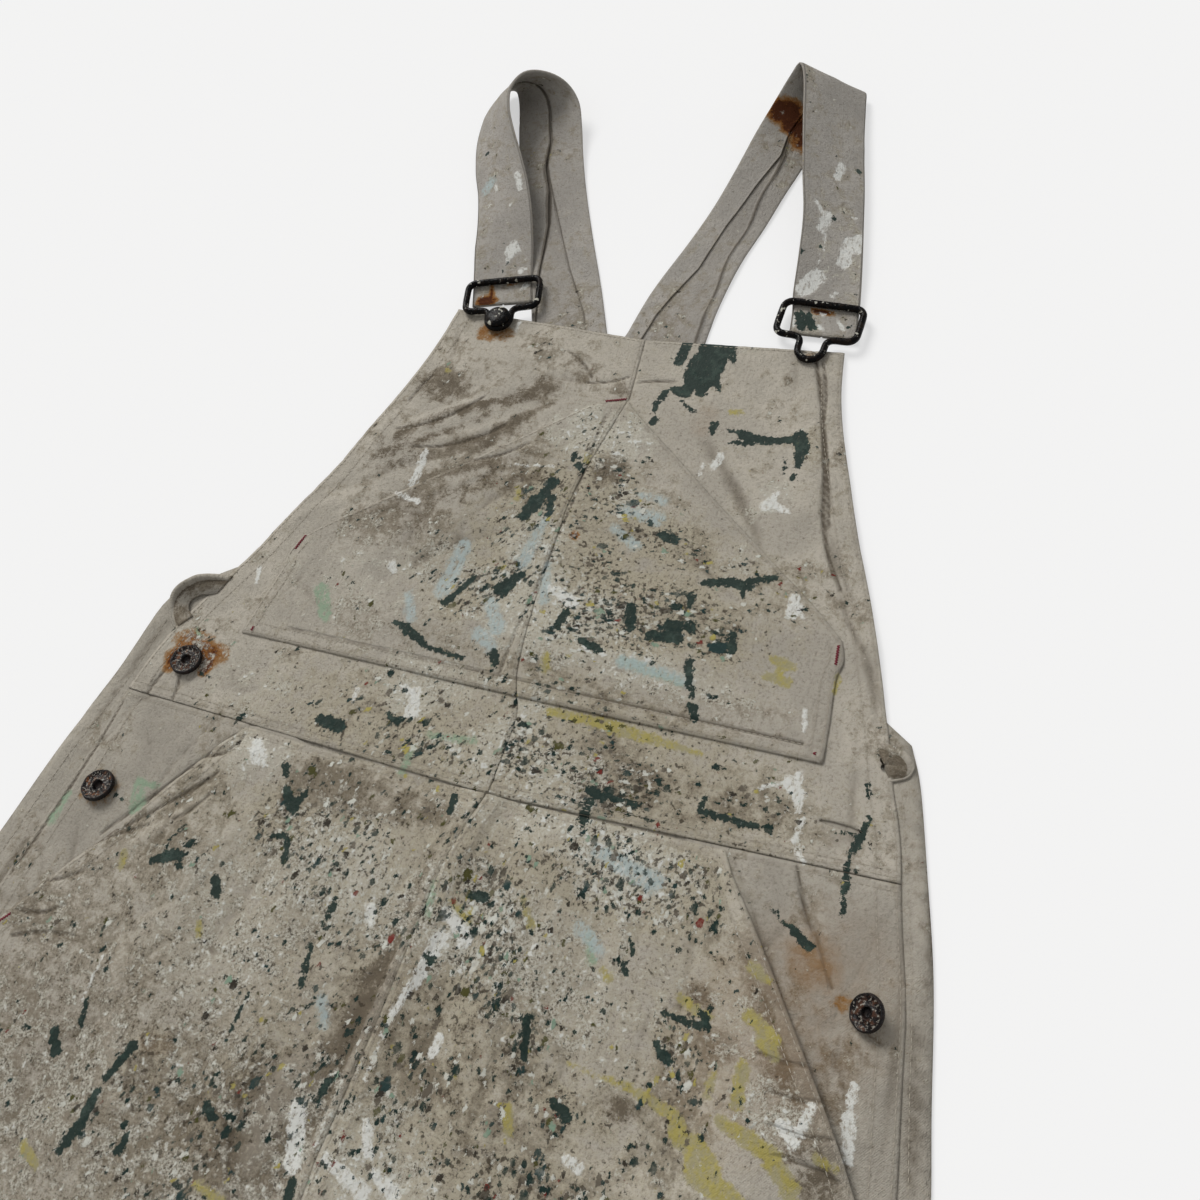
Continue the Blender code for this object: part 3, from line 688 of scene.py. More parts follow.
WHITE_STROKES = table_of(
    Stroke, (165, -272, 172, -277, 3.4, 4.2), (170, -266, 169, -272, 2.4, 3.2),
    (172, -279, 174, -286, 3.2, 1.4), (152, -278, 160, -274, 0.8, 1.2),
    (177, -289, 176, -301, 1.2, 1.8), (178, -305, 183, -311, 1.8, 1.4),
    (144, -166, 145, -176, 2.8, 4.2), (147, -173, 150, -177, 3, 1.6),
    (165, -232, 167, -243, 1.6, 1), (117, -99, 113, -110, 1.6, 3.4), (118, -108, 126, -112, 3, 2),
    (77, -79, 75, -87, 2.4, 3), (68, -86, 69, -95, 0.8, 0.8), (-122, -143, -103, -147, 1, 2.2),
    (-113, -110, -113, -134, 2.2, 2.8), (-101, -194, -98, -198, 2.4, 2.4),
    (-190, -213, -187, -223, 1.8, 1.4), (-90, -276, -90, -283, 1.6, 1.6),
    (-54, -270, -51, -282, 3.4, 4.6), (-62, -268, -57, -271, 2, 2.4),
    (-136, -322, -129, -331, 3.6, 4.8), (-88, 6, -88, -4, 1.6, 1.2),
    (14, -384, 28, -394, 3.4, 3.6), (15, -396, 11, -420, 4.2, 2.8), (10, -420, 5, -438, 2.6, 1.8),
    (5, -442, 4, -470, 0.9, 0.9), (32, -441, 31, -450, 2.2, 2.6), (-1, -508, 22, -516, 2.6, 4),
    (24, -507, 36, -512, 2.4, 4), (12, -488, 18, -500, 2.6, 3), (-26, -492, -18, -516, 4.4, 4.6),
    (200, -430, 207, -436, 2.6, 3.2), (212, -419, 209, -431, 1.8, 3),
    (228, -404, 228, -412, 1.6, 2.6), (228, -418, 232, -436, 3.2, 2.2),
    (110, -473, 117, -475, 2.2, 2.4), (-30, -392, -26, -400, 3, 2.2),
    (-57, -110, -24, -106, 0.8, 0.6), (5, -190, 20, -196, 3, 4),
    (-167, -455, -167, -482, 0.6, 0.7),
)
YELLOW_STROKES = table_of(
    Stroke, (28, -263, 66, -263, 2.6, 3.6), (66, -264, 116, -267, 4, 1.4),
    (142, -206, 152, -208, 2.8, 2.8), (140, -216, 152, -218, 2.6, 3.2),
    (147, -208, 146, -217, 2.6, 2.6), (75, -46, 81, -46, 2.2, 2),
    (177, -207, 177, -217, 1.4, 1.4), (98, -434, 126, -435, 0.8, 1.4),
    (126, -435, 153, -441, 2, 3), (153, -441, 158, -449, 3.4, 4.8),
    (164, -450, 172, -458, 5, 7.4), (170, -460, 188, -467, 6.6, 4.8),
    (174, -437, 200, -444, 3, 4.2), (200, -446, 211, -455, 4.2, 4.4),
    (171, -367, 179, -371, 3.2, 2.4), (175, -389, 189, -397, 3.2, 4),
    (184, -399, 191, -403, 3.4, 2.6), (178, -412, 179, -428, 3.4, 3.2),
    (101, -388, 105, -392, 1.8, 2), (166, -419, 165, -428, 1.8, 2),
    (218, -439, 228, -441, 1.8, 1.6), (141, -390, 156, -395, 2.2, 2.4),
    (50, -366, 59, -378, 1.4, 2.2), (76, -461, 80, -470, 2.4, 2.6),
    (-184, -402, -182, -409, 1.8, 2.6), (-120, -426, -118, -431, 1.8, 1.8),
    (-162, -552, -150, -557, 2.6, 2.6), (-60, -538, -45, -542, 2.2, 2.6),
    (-5, -94, -4, -99, 1.8, 1.8), (-40, -127, -39, -134, 1.6, 1.8),
    (-124, -43, -122, -45, 1.5, 1.4), (16, -232, 18, -240, 2.2, 2.6),
    (14, -378, 26, -384, 1.6, 1.6), (152, -700, 176, -740, 3, 5), (-130, -760, -150, -800, 3, 4),
)
MINT_STROKES = table_of(
    Stroke, (-198, -362, -192, -376, 3.6, 5), (-196, -362, -186, -361, 2, 1.8),
    (-240, -379, -242, -397, 2, 3), (-37, -293, -9, -290, 1.8, 2.2),
    (-42, -303, -43, -317, 2, 2.6), (1, -371, 4, -387, 1.8, 2.2), (-140, -220, -130, -236, 5, 4),
    (88, -374, 94, -386, 1.8, 2.2), (60, -226, 96, -231, 3, 2.4),
    (-212, -262, -205, -268, 1, 0.8),
)
# Pale blue.
COOL_STROKES = table_of(
    Stroke, (36, -116, 52, -118, 1.6, 3), (30, -128, 52, -131, 3.4, 5),
    (28, -142, 44, -151, 2.6, 4), (-16, -146, -20, -176, 2.6, 4.6), (-60, -172, -62, -204, 5, 6),
    (-4, -174, 2, -198, 2.6, 3.6), (-30, -206, -18, -222, 4, 5), (-28, -228, -18, -234, 5, 4),
    (-82, -212, -74, -226, 2.6, 3.6), (80, -332, 112, -340, 4, 6), (84, -372, 96, -380, 4, 3),
    (60, -226, 100, -230, 4, 3), (-36, -442, -30, -452, 3, 3),
)


FAR = 12.0              # a distance that means no mark, mm


def stroke_distance(x, y, strokes):
    """Distance in mm to the edge of the nearest stroke, negative inside it."""
    best = np.full(len(x), FAR)
    for stroke in strokes:
        near = near_path(x, y, (stroke[:2], stroke[2:4]), max(stroke.w0, stroke.w1) + FAR)
        if near.any():
            distance, t = to_segment(x[near], y[near], *stroke[:4])
            width = stroke.w0 + (stroke.w1 - stroke.w0) * t
            best[near] = np.minimum(best[near], distance - width)
    return best


print("strokes", len(GREEN_STROKES), "green,", len(WHITE_STROKES), "white,",
      len(YELLOW_STROKES), "yellow,", len(COOL_STROKES), "blue and mint")

# %% [markdown]
# ## Dirt, painted shade, rust and spatter
# Grime, rust and the density of fine spatter change slowly over the cloth, so each is a sum
# of soft blots; a few of the grime blots are painted shade. A blot is an ellipse with a strength
# in its middle that fades to its edge. Small drops of paint come from the material, and two of
# the tables say where they lie.

# %% Blots
Blot = namedtuple("Blot", "x y wide tall turn strength")
# Where small drops lie thick, besides the broad spread.
SPATTER_SPOTS = table_of(
    Blot, (64, -192, 44, 20, 0, 1), (40, -215, 34, 9, 0, 0.9), (62, -144, 28, 13, -15, 0.75),
    (26, -172, 14, 18, 0, 0.7), (16, -112, 26, 16, -35, 0.65), (-22, -120, 13, 18, 62, 0.8),
    (-38, -198, 26, 14, 50, 0.7), (76, -298, 24, 12, 0, 0.95), (24, -288, 16, 18, -30, 0.85),
    (-98, -302, 13, 7, 0, 0.9), (-40, -296, 30, 12, 0, 0.5), (112, -204, 14, 12, 0, 0.7),
    (145, -410, 9, 15, 0, 1), (74, -430, 9, 15, 0, 1), (42, -404, 16, 22, 0, 0.9),
    (98, -454, 12, 9, 0, 0.9), (100, -345, 46, 18, 0, 0.9), (120, -330, 30, 9, 0, 0.9),
    (30, -372, 24, 18, 0, 0.7), (-98, -362, 18, 26, 70, 0.7), (-60, -370, 26, 30, 70, 0.45),
    (128, -66, 9, 14, 0, 0.5), (-116, -500, 20, 16, 60, 0.6), (-66, -500, 24, 16, 60, 0.5),
    (90, -492, 40, 14, 0, 0.6), (-110, -660, 70, 60, 70, 0.6), (150, -680, 70, 70, 80, 0.6),
    (-200, -880, 60, 90, 80, 0.5), (200, -900, 60, 90, 80, 0.5),
)
# Grime, and painted shade: the narrow blots from (-8, -385) to (-38, -506) darken the valley
# beside the front rise, and the tall ones at (196, -370) and (214, -420) the right pocket mouth.
# The broad blots at (-90, -95), (-140, -450) and (-130, -540) make the upper left of the bib and
# the left leg darker.
GRIME_AND_SHADE_BLOTS = table_of(
    Blot, (-122, -57, 19, 13, -12, 0.85), (-53, -48, 12, 9, 30, 0.75), (-64, -56, 12, 6, 30, 0.5),
    (-112, -84, 34, 5, 32, 0.66), (-86, -68, 34, 4, 22, 0.64), (-70, -88, 24, 5, 52, 0.62),
    (-96, -104, 42, 5, 28, 0.68), (-60, -74, 26, 3, 40, 0.6), (-104, -92, 30, 3, 36, 0.6),
    (-80, -116, 34, 4, 24, 0.55), (-134, -112, 18, 14, 40, 0.5), (-60, -120, 40, 16, 30, 0.45),
    (-110, -165, 44, 22, 20, 0.55), (-30, -28, 14, 10, -40, 0.35), (2, -42, 8, 8, 0, 0.5),
    (12, -102, 13, 11, 60, 0.9), (104, -14, 3, 9, -12, 0.5), (106, -36, 4, 8, -20, 0.35),
    (-60, -236, 70, 12, 0, 0.3), (110, -245, 60, 10, 0, 0.3), (90, -290, 70, 16, 0, 0.3),
    (-70, -335, 70, 14, 0, 0.55), (-80, -352, 30, 14, 20, 0.4), (-8, -385, 6, 34, -4, 0.75),
    (-13, -440, 9, 40, -8, 0.9), (-20, -490, 13, 36, -8, 0.9), (-38, -506, 26, 34, 10, 0.85),
    (-90, -95, 90, 60, 30, 0.2), (-140, -450, 130, 90, 0, 0.45), (-130, -540, 130, 70, 0, 0.55),
    (60, -430, 80, 80, 0, 0.35), (128, -446, 9, 6, 0, 0.9), (150, -388, 6, 9, 30, 0.7),
    (166, -406, 12, 7, 0, 0.7), (225, -334, 18, 14, 0, 0.5), (196, -370, 24, 50, 20, 1),
    (214, -420, 26, 50, 20, 0.9), (-120, -760, 150, 150, 0, 0.55), (150, -760, 150, 150, 0, 0.55),
    (-200, -1050, 150, 200, 0, 0.5), (200, -1050, 150, 200, 0, 0.5),
    (-220, -1330, 140, 40, 0, 0.85), (220, -1330, 140, 40, 0, 0.85),
)
RUST_BLOTS = table_of(
    Blot, (-208, -271, 15, 8, 0, 0.72), (-192, -276, 10, 8, 0, 0.72), (-218, -284, 6, 9, 0, 0.75),
    (-193, -285, 4, 6, 0, 0.9), (-101, -8, 13, 8, 0, 0.42), (-112, -6, 5, 8, 0, 0.3),
    (-222, -372, 12, 11, 0, 0.35), (113, 4, 3, 6, 0, 0.5), (6, -152, 3, 3, 0, 0.9),
    (216, -372, 6, 4, 0, 0.35),
)
ORANGE_BLOTS = table_of(
    Blot, (198, -356, 14, 11, -40, 0.95), (190, -390, 40, 60, -30, 0.35),
    (60, -55, 8, 12, 0, 0.25), (-114, -488, 10, 5, 10, 0.25),
)
SPECK_BLOTS = table_of(
    Blot, (30, -190, 110, 62, 0, 0.42), (-20, -140, 50, 50, 0, 0.35), (0, -80, 30, 30, 0, 0.25),
    (20, -285, 170, 32, 0, 0.4), (70, -400, 120, 130, 0, 0.46), (-60, -420, 110, 130, 0, 0.3),
    (-160, -440, 120, 150, 0, 0.22), (40, -540, 160, 90, 0, 0.32), (120, -700, 170, 150, 0, 0.34),
    (-120, -700, 170, 150, 0, 0.3), (190, -1050, 170, 300, 0, 0.24),
    (-190, -1050, 170, 300, 0, 0.24), (0, -160, 240, 190, 0, 0.13),
)
# Dry pale paint that caught only the top of the weave.
CRUST_BLOTS = table_of(
    Blot, (-16, -70, 22, 16, 30, 0.85), (18, -76, 20, 15, -35, 0.85), (-4, -92, 30, 16, 0, 0.6),
    (30, -122, 26, 13, -20, 0.6), (-10, -165, 24, 34, 62, 0.6), (15, -196, 60, 18, 0, 0.65),
    (60, -226, 70, 16, -8, 0.75), (0, -222, 40, 16, 0, 0.6), (-44, -262, 40, 14, 0, 0.6),
    (-56, -276, 16, 11, 0, 0.9), (20, -296, 60, 20, 0, 0.75), (14, -272, 14, 24, -30, 0.7),
    (100, -338, 36, 22, 0, 0.9), (50, -326, 60, 14, 0, 0.75), (30, -380, 40, 34, 0, 0.6),
    (90, -400, 60, 46, 0, 0.6), (-40, -380, 34, 60, 70, 0.62), (-96, -400, 60, 46, 60, 0.5),
    (-130, -330, 22, 16, 0, 0.85), (-158, -287, 64, 20, -12, 0.45), (-24, -500, 20, 40, 75, 0.15),
    (14, -490, 26, 44, 80, 0.5), (40, -530, 70, 30, 0, 0.45), (-70, -460, 40, 50, 60, 0.35),
    (200, -428, 18, 14, -30, 0.8), (176, -400, 16, 26, 20, 0.5), (-90, -200, 90, 50, 0, 0.42),
    (116, -106, 14, 16, -40, 0.6), (108, -150, 10, 26, 0, 0.35), (64, 6, 22, 12, 0, 0.3),
    (34, -10, 10, 22, 0, 0.35), (-196, -376, 6, 8, 0, 0.4), (-150, -470, 90, 80, 0, 0.34),
    (120, -640, 170, 150, 0, 0.5), (-120, -640, 170, 150, 0, 0.5), (190, -1000, 170, 300, 0, 0.4),
    (-190, -1000, 170, 300, 0, 0.4),
)
CRUMPLE_BLOTS = table_of(
    Blot, (-190, -370, 70, 90, 50, 1), (-100, -92, 70, 42, 30, 0.9), (-20, -40, 50, 26, 0, 0.5),
    (-90, -180, 120, 70, 0, 0.75), (0, -120, 60, 60, 0, 0.6), (-60, -296, 150, 30, 0, 0.55),
    (-100, -470, 140, 130, 0, 0.75), (196, -390, 50, 90, 0, 0.7), (220, -250, 40, 60, 0, 0.5),
    (60, -430, 110, 130, 0, 0.5), (0, -900, 400, 500, 0, 0.7),
)


def blot_sum(x, y, blots):
    """How strongly a table of blots covers each point, from 0 to 1."""
    clear = np.ones(len(x))
    for blot in blots:
        angle = math.radians(blot.turn)
        u = ((x - blot.x) * math.cos(angle) + (y - blot.y) * math.sin(angle)) / blot.wide
        v = (-(x - blot.x) * math.sin(angle) + (y - blot.y) * math.cos(angle)) / blot.tall
        fade = np.clip(1 - (u * u + v * v) / 1.6, 0, 1)
        clear *= 1 - blot.strength * fade ** 0.8
    return 1 - clear


print("blots", len(GRIME_AND_SHADE_BLOTS), "of grime,", len(RUST_BLOTS), "of rust")

# %% [markdown]
# ## Cloth shells
# A panel of drill is one cloth. Its shell has an upper and a lower side one thickness
# apart, joined by a narrow rim. Each vertex carries what the material needs to know there:
# its place on the flat cloth, its distance to stitches and to each paint, and its dirt and
# painted shade.

# %% Panels
Panel = namedtuple("Panel", "node creases rests flat area")
PANELS = table_of(
    Panel,
    ("back_left", BACK_CREASES, (), (0.345, 1.345), 0.319),
    ("back_right", BACK_CREASES, (), (0.345, 1.345), 0.319),
    ("leg_front_left", LEG_CREASES, ("back_left",), (0.34, 1.05), 0.258),
    ("leg_front_right", LEG_CREASES, ("back_right",), (0.34, 1.05), 0.265),
    ("pocket_facing_left", FACING_CREASES, ("back_left",), (0.16, 0.17), 0.0143),
    ("pocket_facing_right", FACING_CREASES, ("back_right",), (0.16, 0.17), 0.0137),
    ("bib_left", BIB_CREASES, ("back_left",), (0.25, 0.33), 0.0594),
    ("bib_right", BIB_CREASES, ("back_right",), (0.25, 0.33), 0.0573),
    ("bib_pocket_left", POCKET_CREASES, ("bib_left",), (0.19, 0.21), 0.0248),
    ("bib_pocket_right", POCKET_CREASES, ("bib_right",), (0.19, 0.21), 0.0251),
)
PAINTS = (("green", GREEN_STROKES), ("white", WHITE_STROKES), ("yellow", YELLOW_STROKES),
          ("cool", COOL_STROKES), ("mint", MINT_STROKES))
STAINS = (("grime", GRIME_AND_SHADE_BLOTS), ("rust", RUST_BLOTS), ("orange", ORANGE_BLOTS),
          ("crust", CRUST_BLOTS))
CLEAN_SIDE = 0.3        # backs and pocket facings were covered: their share of dirt and paint
SPOT_SHARE = 0.62       # weight of the thick spots of spatter beside the broad spread
# How the drops fell on each panel: their direction in degrees, and how slender they are.
FALL = {"bib_left": (55, 1.6), "bib_right": (12, 1.3), "bib_pocket_left": (58, 1.6),
        "bib_pocket_right": (6, 1.4), "leg_front_left": (66, 1.5),
        "leg_front_right": (88, 1.4)}
USUAL_FALL = (75, 1.6)
# Ovals: x, y, half length, half width and turn.
EMPTY_BUTTONHOLE = (196.0, -288.0, 11.0, 1.5, -3.0)
UNDER_POCKET = (0, -205, 120, 60, 0)    # the bib stays flat under its pocket
print(len(PANELS), "panels,", round(sum(panel.area for panel in PANELS), 2), "square metres")

# %% [markdown]
# Every visible piece is a mesh whose points come from the plan. What a material has to know
# at a vertex is stored there as a named value or vector.

# %% Pieces and their vertex data
def new_piece(name, points, faces):
    """A mesh object from points of the plan in mm, riding the garment."""
    mesh = bpy.data.meshes.new(name)
    mesh.from_pydata(to_model(points), [], [tuple(int(v) for v in face) for face in faces])
    mesh.shade_smooth()
    thing = bpy.data.objects.new(name, mesh)
    bpy.context.scene.collection.objects.link(thing)
    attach(thing, "root")
    return thing


def set_values(thing, name, values):
    attribute = thing.data.attributes.new(name, "FLOAT", "POINT")
    attribute.data.foreach_set("value", np.asarray(values, dtype=np.float32))


def set_vectors(thing, name, values):
    attribute = thing.data.attributes.new(name, "FLOAT_VECTOR", "POINT")
    attribute.data.foreach_set("vector", np.asarray(values, dtype=np.float32).reshape(-1))


def boundary(faces):
    """Edges that only one triangle uses, in that triangle's direction."""
    edges = np.concatenate([faces[:, [0, 1]], faces[:, [1, 2]], faces[:, [2, 0]]])
    known = {(int(a), int(b)) for a, b in edges}
    return [(a, b) for a, b in known if (b, a) not in known]


def two_sided(name, plan, top, bottom, faces):
    """Closed shell from a triangulated plan and the heights of its two sides."""
    count = len(plan)
    points = np.vstack([np.column_stack([plan, top]), np.column_stack([plan, bottom])])
    rim = [(b, a, a + count, b + count) for a, b in boundary(faces)]
    under = faces[:, ::-1] + count
    return new_piece(name, points, [*faces.tolist(), *under.tolist(), *rim])


def oval(x, y, half_long, half_wide, turn, count=28):
    angle = np.linspace(0, 2 * math.pi, count, endpoint=False)
    u = half_long * np.cos(angle)
    v = half_wide * np.sin(angle)
    spin = math.radians(turn)
    return np.column_stack([x + u * math.cos(spin) - v * math.sin(spin),
                            y + u * math.sin(spin) + v * math.cos(spin)])


def falling(x, y, turn, slender):
    """Coordinates in which drops that fell along one direction are round."""
    angle = math.radians(turn)
    along = (x * math.cos(angle) + y * math.sin(angle)) / slender
    return np.column_stack([along, -x * math.sin(angle) + y * math.cos(angle), 0 * x])


def store_marks(thing, node, x, y, edge, stitch, fold, relief):
    """Vertex data of a panel: both sides get it, but the paint is on the upper side."""
    set_vectors(thing, "cloth", np.tile(np.column_stack([x, y, np.zeros(len(x))]), (2, 1)))
    set_vectors(thing, "fall", np.tile(falling(x, y, *FALL.get(node, USUAL_FALL)), (2, 1)))
    for name, strokes in PAINTS:
        distance = stroke_distance(x, y, strokes)
        set_values(thing, name, np.concatenate([distance, np.full(len(x), FAR)]))
    share = CLEAN_SIDE if "facing" in node or "back" in node else 1.0
    for name, blots in STAINS:
        keep = 1.0 if name in ("rust", "orange") else share
        set_values(thing, name, np.tile(keep * blot_sum(x, y, blots), 2))
    density = blot_sum(x, y, SPECK_BLOTS) + SPOT_SHARE * blot_sum(x, y, SPATTER_SPOTS)
    set_values(thing, "specks", np.tile(share * density, 2))
    for name, values in (("edge", edge), ("stitch", stitch), ("fold", fold),
                         ("relief", relief)):
        set_values(thing, name, np.tile(values, 2))


print("open buttonhole", np.ptp(oval(*EMPTY_BUTTONHOLE), axis=0).round(1), "mm")

# %% [markdown]
# Now each panel is dressed. Its height is the solid's, and creases, hems, crumples and slow
# ripples are added to it. The waist edges of the legs and of the pocket facings are drawn
# up to the bib, which closes the seam between them.

# %% Shells
WAIST_SIDE = 1          # row of a leg's or a facing's sides that is sewn to the bib
WAIST_PULL = 1.4        # that edge is drawn up to the bib by this much, mm,
WAIST_SINK = 1.3        # and a leg's comes down to it
RELAX_ROUNDS = 24
CRUMPLE_HEIGHT = 0.9    # mm
RIPPLES = ((0.26, 34, 1), (0.16, 13, 2), (0.07, 6, 4))      # height and size in mm, seed
BACK_RAISE = 0.4        # the back clears the table by this much, mm
shells, stitch_rows, surfaces = {}, {}, {}
for panel in PANELS:
    covered = panel.node.startswith("back")
    loop, _ = smooth_outline(outline(*upper_side(panel.node)),
                             plain_spacing if covered else mesh_spacing)
    hole = oval(*EMPTY_BUTTONHOLE) if panel.node == "bib_right" else None
    plan, faces = triangulate(loop, PLAIN if covered else FINE, hole)
    x, y = plan[:, 0], plan[:, 1]
    top = relax(solid_height(panel.node, x, y), faces, RELAX_ROUNDS)
    creases = crease_relief(x, y, panel.creases)
    if panel.node in ("bib_left", "bib_right"):
        hidden = oval(*UNDER_POCKET)
        flat = smooth_step(to_path(x, y, closed(hidden)), 0, 30)
        creases = np.where(inside(x, y, hidden), 0, creases * flat)
    sewn, edge, stitch, rows = sewn_relief(x, y, loop, SIDES[panel.node])
    ripple = sum(high * soft_noise(x, y, size, seed=seed) for high, size, seed in RIPPLES)
    turn = FALL.get(panel.node, USUAL_FALL)[0]
    folded = crumple(x, y, 30, turn, 21) + 0.55 * crumple(x, y, 13, turn + 20, 31)
    creases = creases + folded * (CRUMPLE_HEIGHT * blot_sum(x, y, CRUMPLE_BLOTS))
    top = top + creases + sewn + ripple * np.clip(edge / 6, 0, 1)
    leg = panel.node.startswith("leg")
    if leg or "facing" in panel.node:
        waist = to_path(x, y, side_path(loop, SIDES[panel.node][WAIST_SIDE]))
        plan[:, 1] += WAIST_PULL * (1 + leg * np.abs(x) / 180) * (1 - smooth_step(waist, 0, 10))
        top -= WAIST_SINK * leg * (1 - smooth_step(waist, 0, 12))
    top = np.maximum(top, BACK_RAISE * covered + CLOTH)
    thing = two_sided("cloth_" + panel.node, plan, top, top - CLOTH, faces)
    fold = fold_distance(x, y, panel.creases)
    store_marks(thing, panel.node, x, y, edge, stitch, fold, creases + ripple)
    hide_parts(panel.node)
    shells[panel.node] = thing
    stitch_rows[panel.node] = rows
    surfaces[panel.node] = (plan, top, faces)
    print(panel.node, len(faces) * 2, "triangles,", len(rows), "stitch rows")

# %% [markdown]
# ## Shader sums
# A material here is mostly arithmetic on distances and noise. A small class lets a node
# socket be added and multiplied like a number, which keeps the recipes readable.

# %% A socket that does sums
class Value:
    """An output socket that can be used in sums."""

    def __init__(self, recipe, socket):
        self.recipe, self.socket = recipe, socket

    def math(self, operation, *others):
        return self.recipe.node("ShaderNodeMath", {"operation": operation},
                                dict(enumerate((self, *others))))

    def __add__(self, other):
        return self.math("ADD", other)

    __radd__ = __add__

    def __sub__(self, other):
        return self.math("SUBTRACT", other)

    def __rsub__(self, other):
        return self.math("MULTIPLY", -1).math("ADD", other)

    def __mul__(self, other):
        return self.math("MULTIPLY", other)

    __rmul__ = __mul__

    def __truediv__(self, other):
        return self.math("DIVIDE", other)

    def __rtruediv__(self, other):
        return self.math("POWER", -1).math("MULTIPLY", other)

    def other(self, name):
        """Another output of the node that this value comes from."""
        return Value(self.recipe, self.socket.node.outputs[name])

    def clamped(self):
        return self.math("MINIMUM", 1).math("MAXIMUM", 0)

    def step(self, low, high):
        """0 below low and 1 above high, with a soft change between; low may be the larger."""
        t = ((self - low) / (high - low)).clamped()
        return t * t * (3 - 2 * t)

# %% [markdown]
# One method adds any other node, and short names stand for the few that come back often.

# %% Recipe of a material
class Recipe:
    """The nodes of one material."""

    def __init__(self, name, **constants):
        self.material = bpy.data.materials.new(name)
        self.material.use_nodes = True
        self.tree = self.material.node_tree
        self.shader = self.tree.nodes["Principled BSDF"]
        for key, value in constants.items():
            self.shader.inputs[key.replace("_", " ")].default_value = value

    def node(self, kind, settings=None, values=None, output=0):
        """Adds one node: its settings first, then its socket values and links."""
        node = self.tree.nodes.new(kind)
        for key, value in (settings or {}).items():
            if key == "stops":
                node.color_ramp.interpolation = "CONSTANT"
                while len(node.color_ramp.elements) < len(value):
                    node.color_ramp.elements.new(0.99)
                for element, (position, colour) in zip(node.color_ramp.elements, value):
                    element.position = position
                    element.color = (*colour, 1)
            else:
                setattr(node, key, value)
        for key, value in (values or {}).items():
            self.give(node.inputs[key], value)
        return Value(self, node.outputs[output])

    def give(self, socket, value):
        if isinstance(value, Value):
            self.tree.links.new(value.socket, socket)
        else:
            socket.default_value = value

    def stored(self, name):
        return self.node("ShaderNodeAttribute", {"attribute_name": name}, output="Fac")

    def place(self, name):
        return self.node("ShaderNodeAttribute", {"attribute_name": name}, output="Vector")

    def mix(self, amount, first, second):
        """A colour mix; colours are given as three numbers or as a socket."""
        values = {0: amount}
        for slot, colour in ((6, first), (7, second)):
            values[slot] = colour if isinstance(colour, Value) else (*colour, 1)
        return self.node("ShaderNodeMix", {"data_type": "RGBA"}, values, output=2)

    def noise(self, place, size, detail, roughness):
        """Noise from about 0.3 to 0.7, with features of size mm."""
        return self.node("ShaderNodeTexNoise", {"noise_dimensions": "2D"},
                         {"Vector": place, "Scale": 1 / size, "Detail": detail,
                          "Roughness": roughness})

    def moved(self, place, scale, shift=(0, 0, 0)):
        """Coordinates stretched and shifted."""
        return self.node("ShaderNodeVectorMath", {"operation": "MULTIPLY_ADD"},
                         {0: place, 1: scale, 2: shift})

    def turned(self, place, angle):
        return self.node("ShaderNodeVectorRotate", {"rotation_type": "Z_AXIS"},
                         {"Vector": place, "Angle": math.radians(angle)})

    def ramp(self, amount, stops):
        """Flat bands of colour, each from its own position upwards."""
        return self.node("ShaderNodeValToRGB", {"stops": stops}, {"Fac": amount},
                         output="Color")

    def finish(self, colour, roughness, height, relief):
        """Colour, roughness and a bump of relief metres, and the material they make."""
        self.give(self.shader.inputs["Base Color"], colour)
        self.give(self.shader.inputs["Roughness"], roughness)
        bump = self.node("ShaderNodeBump", {}, {"Height": height, "Distance": relief,
                                                "Strength": 1.0}, output="Normal")
        self.give(self.shader.inputs["Normal"], bump)
        return self.material


# %% [markdown]
# ## Painted drill
# Cotton drill that was white once. Under the paint it is cream, mottled by washing, with
# dirt and painted shade in the troughs and along the stitches, painted shadow lines along the
# crisp folds, ridges rubbed and painted paler, and a fine nap. Dry pale paint caught only the top
# of the weave.
# Over that lie drops from Voronoi cells, each with its own colour, and then the large marks. A
# mark's stored distance plus noise gives its ragged edge.

# %% Colours and drops
CREAM = (0.480, 0.442, 0.374)
WORKED = (0.400, 0.358, 0.262)   # where much paint and dirt were rubbed in
# Dark colour of dirt, and of the painted shade in troughs, grooves, edges and along folds.
DIRT_AND_SHADE = (0.108, 0.086, 0.060)
SOIL_AND_SHADE = (0.180, 0.149, 0.106)
GREEN_DARK = (0.0055, 0.021, 0.0165)
GREEN_THIN = (0.034, 0.060, 0.048)
PAINT_WHITE = (0.640, 0.645, 0.610)
PAINT_PALE = (0.540, 0.520, 0.445)
PAINT_YELLOW = (0.360, 0.310, 0.085)
PAINT_YELLOW_THIN = (0.31, 0.28, 0.150)
PAINT_BLUE = (0.410, 0.490, 0.490)
PAINT_MINT = (0.250, 0.360, 0.245)
RUST_DARK = (0.060, 0.014, 0.004)
RUST_WASH = (0.270, 0.140, 0.040)
RUST_BRIGHT = (0.225, 0.076, 0.008)
ORANGE_STAIN = (0.27, 0.17, 0.090)
DROP_COLOURS = (         # from this chance upwards, a drop has this colour
    (0.00, GREEN_DARK),
    (0.38, (0.012, 0.034, 0.032)),
    (0.47, (0.030, 0.024, 0.016)),
    (0.56, (0.058, 0.055, 0.010)),
    (0.63, (0.110, 0.092, 0.068)),
    (0.72, (0.150, 0.014, 0.008)),
    (0.735, PAINT_YELLOW),
    (0.77, (0.20, 0.29, 0.21)),
    (0.80, (0.56, 0.56, 0.50)),
)
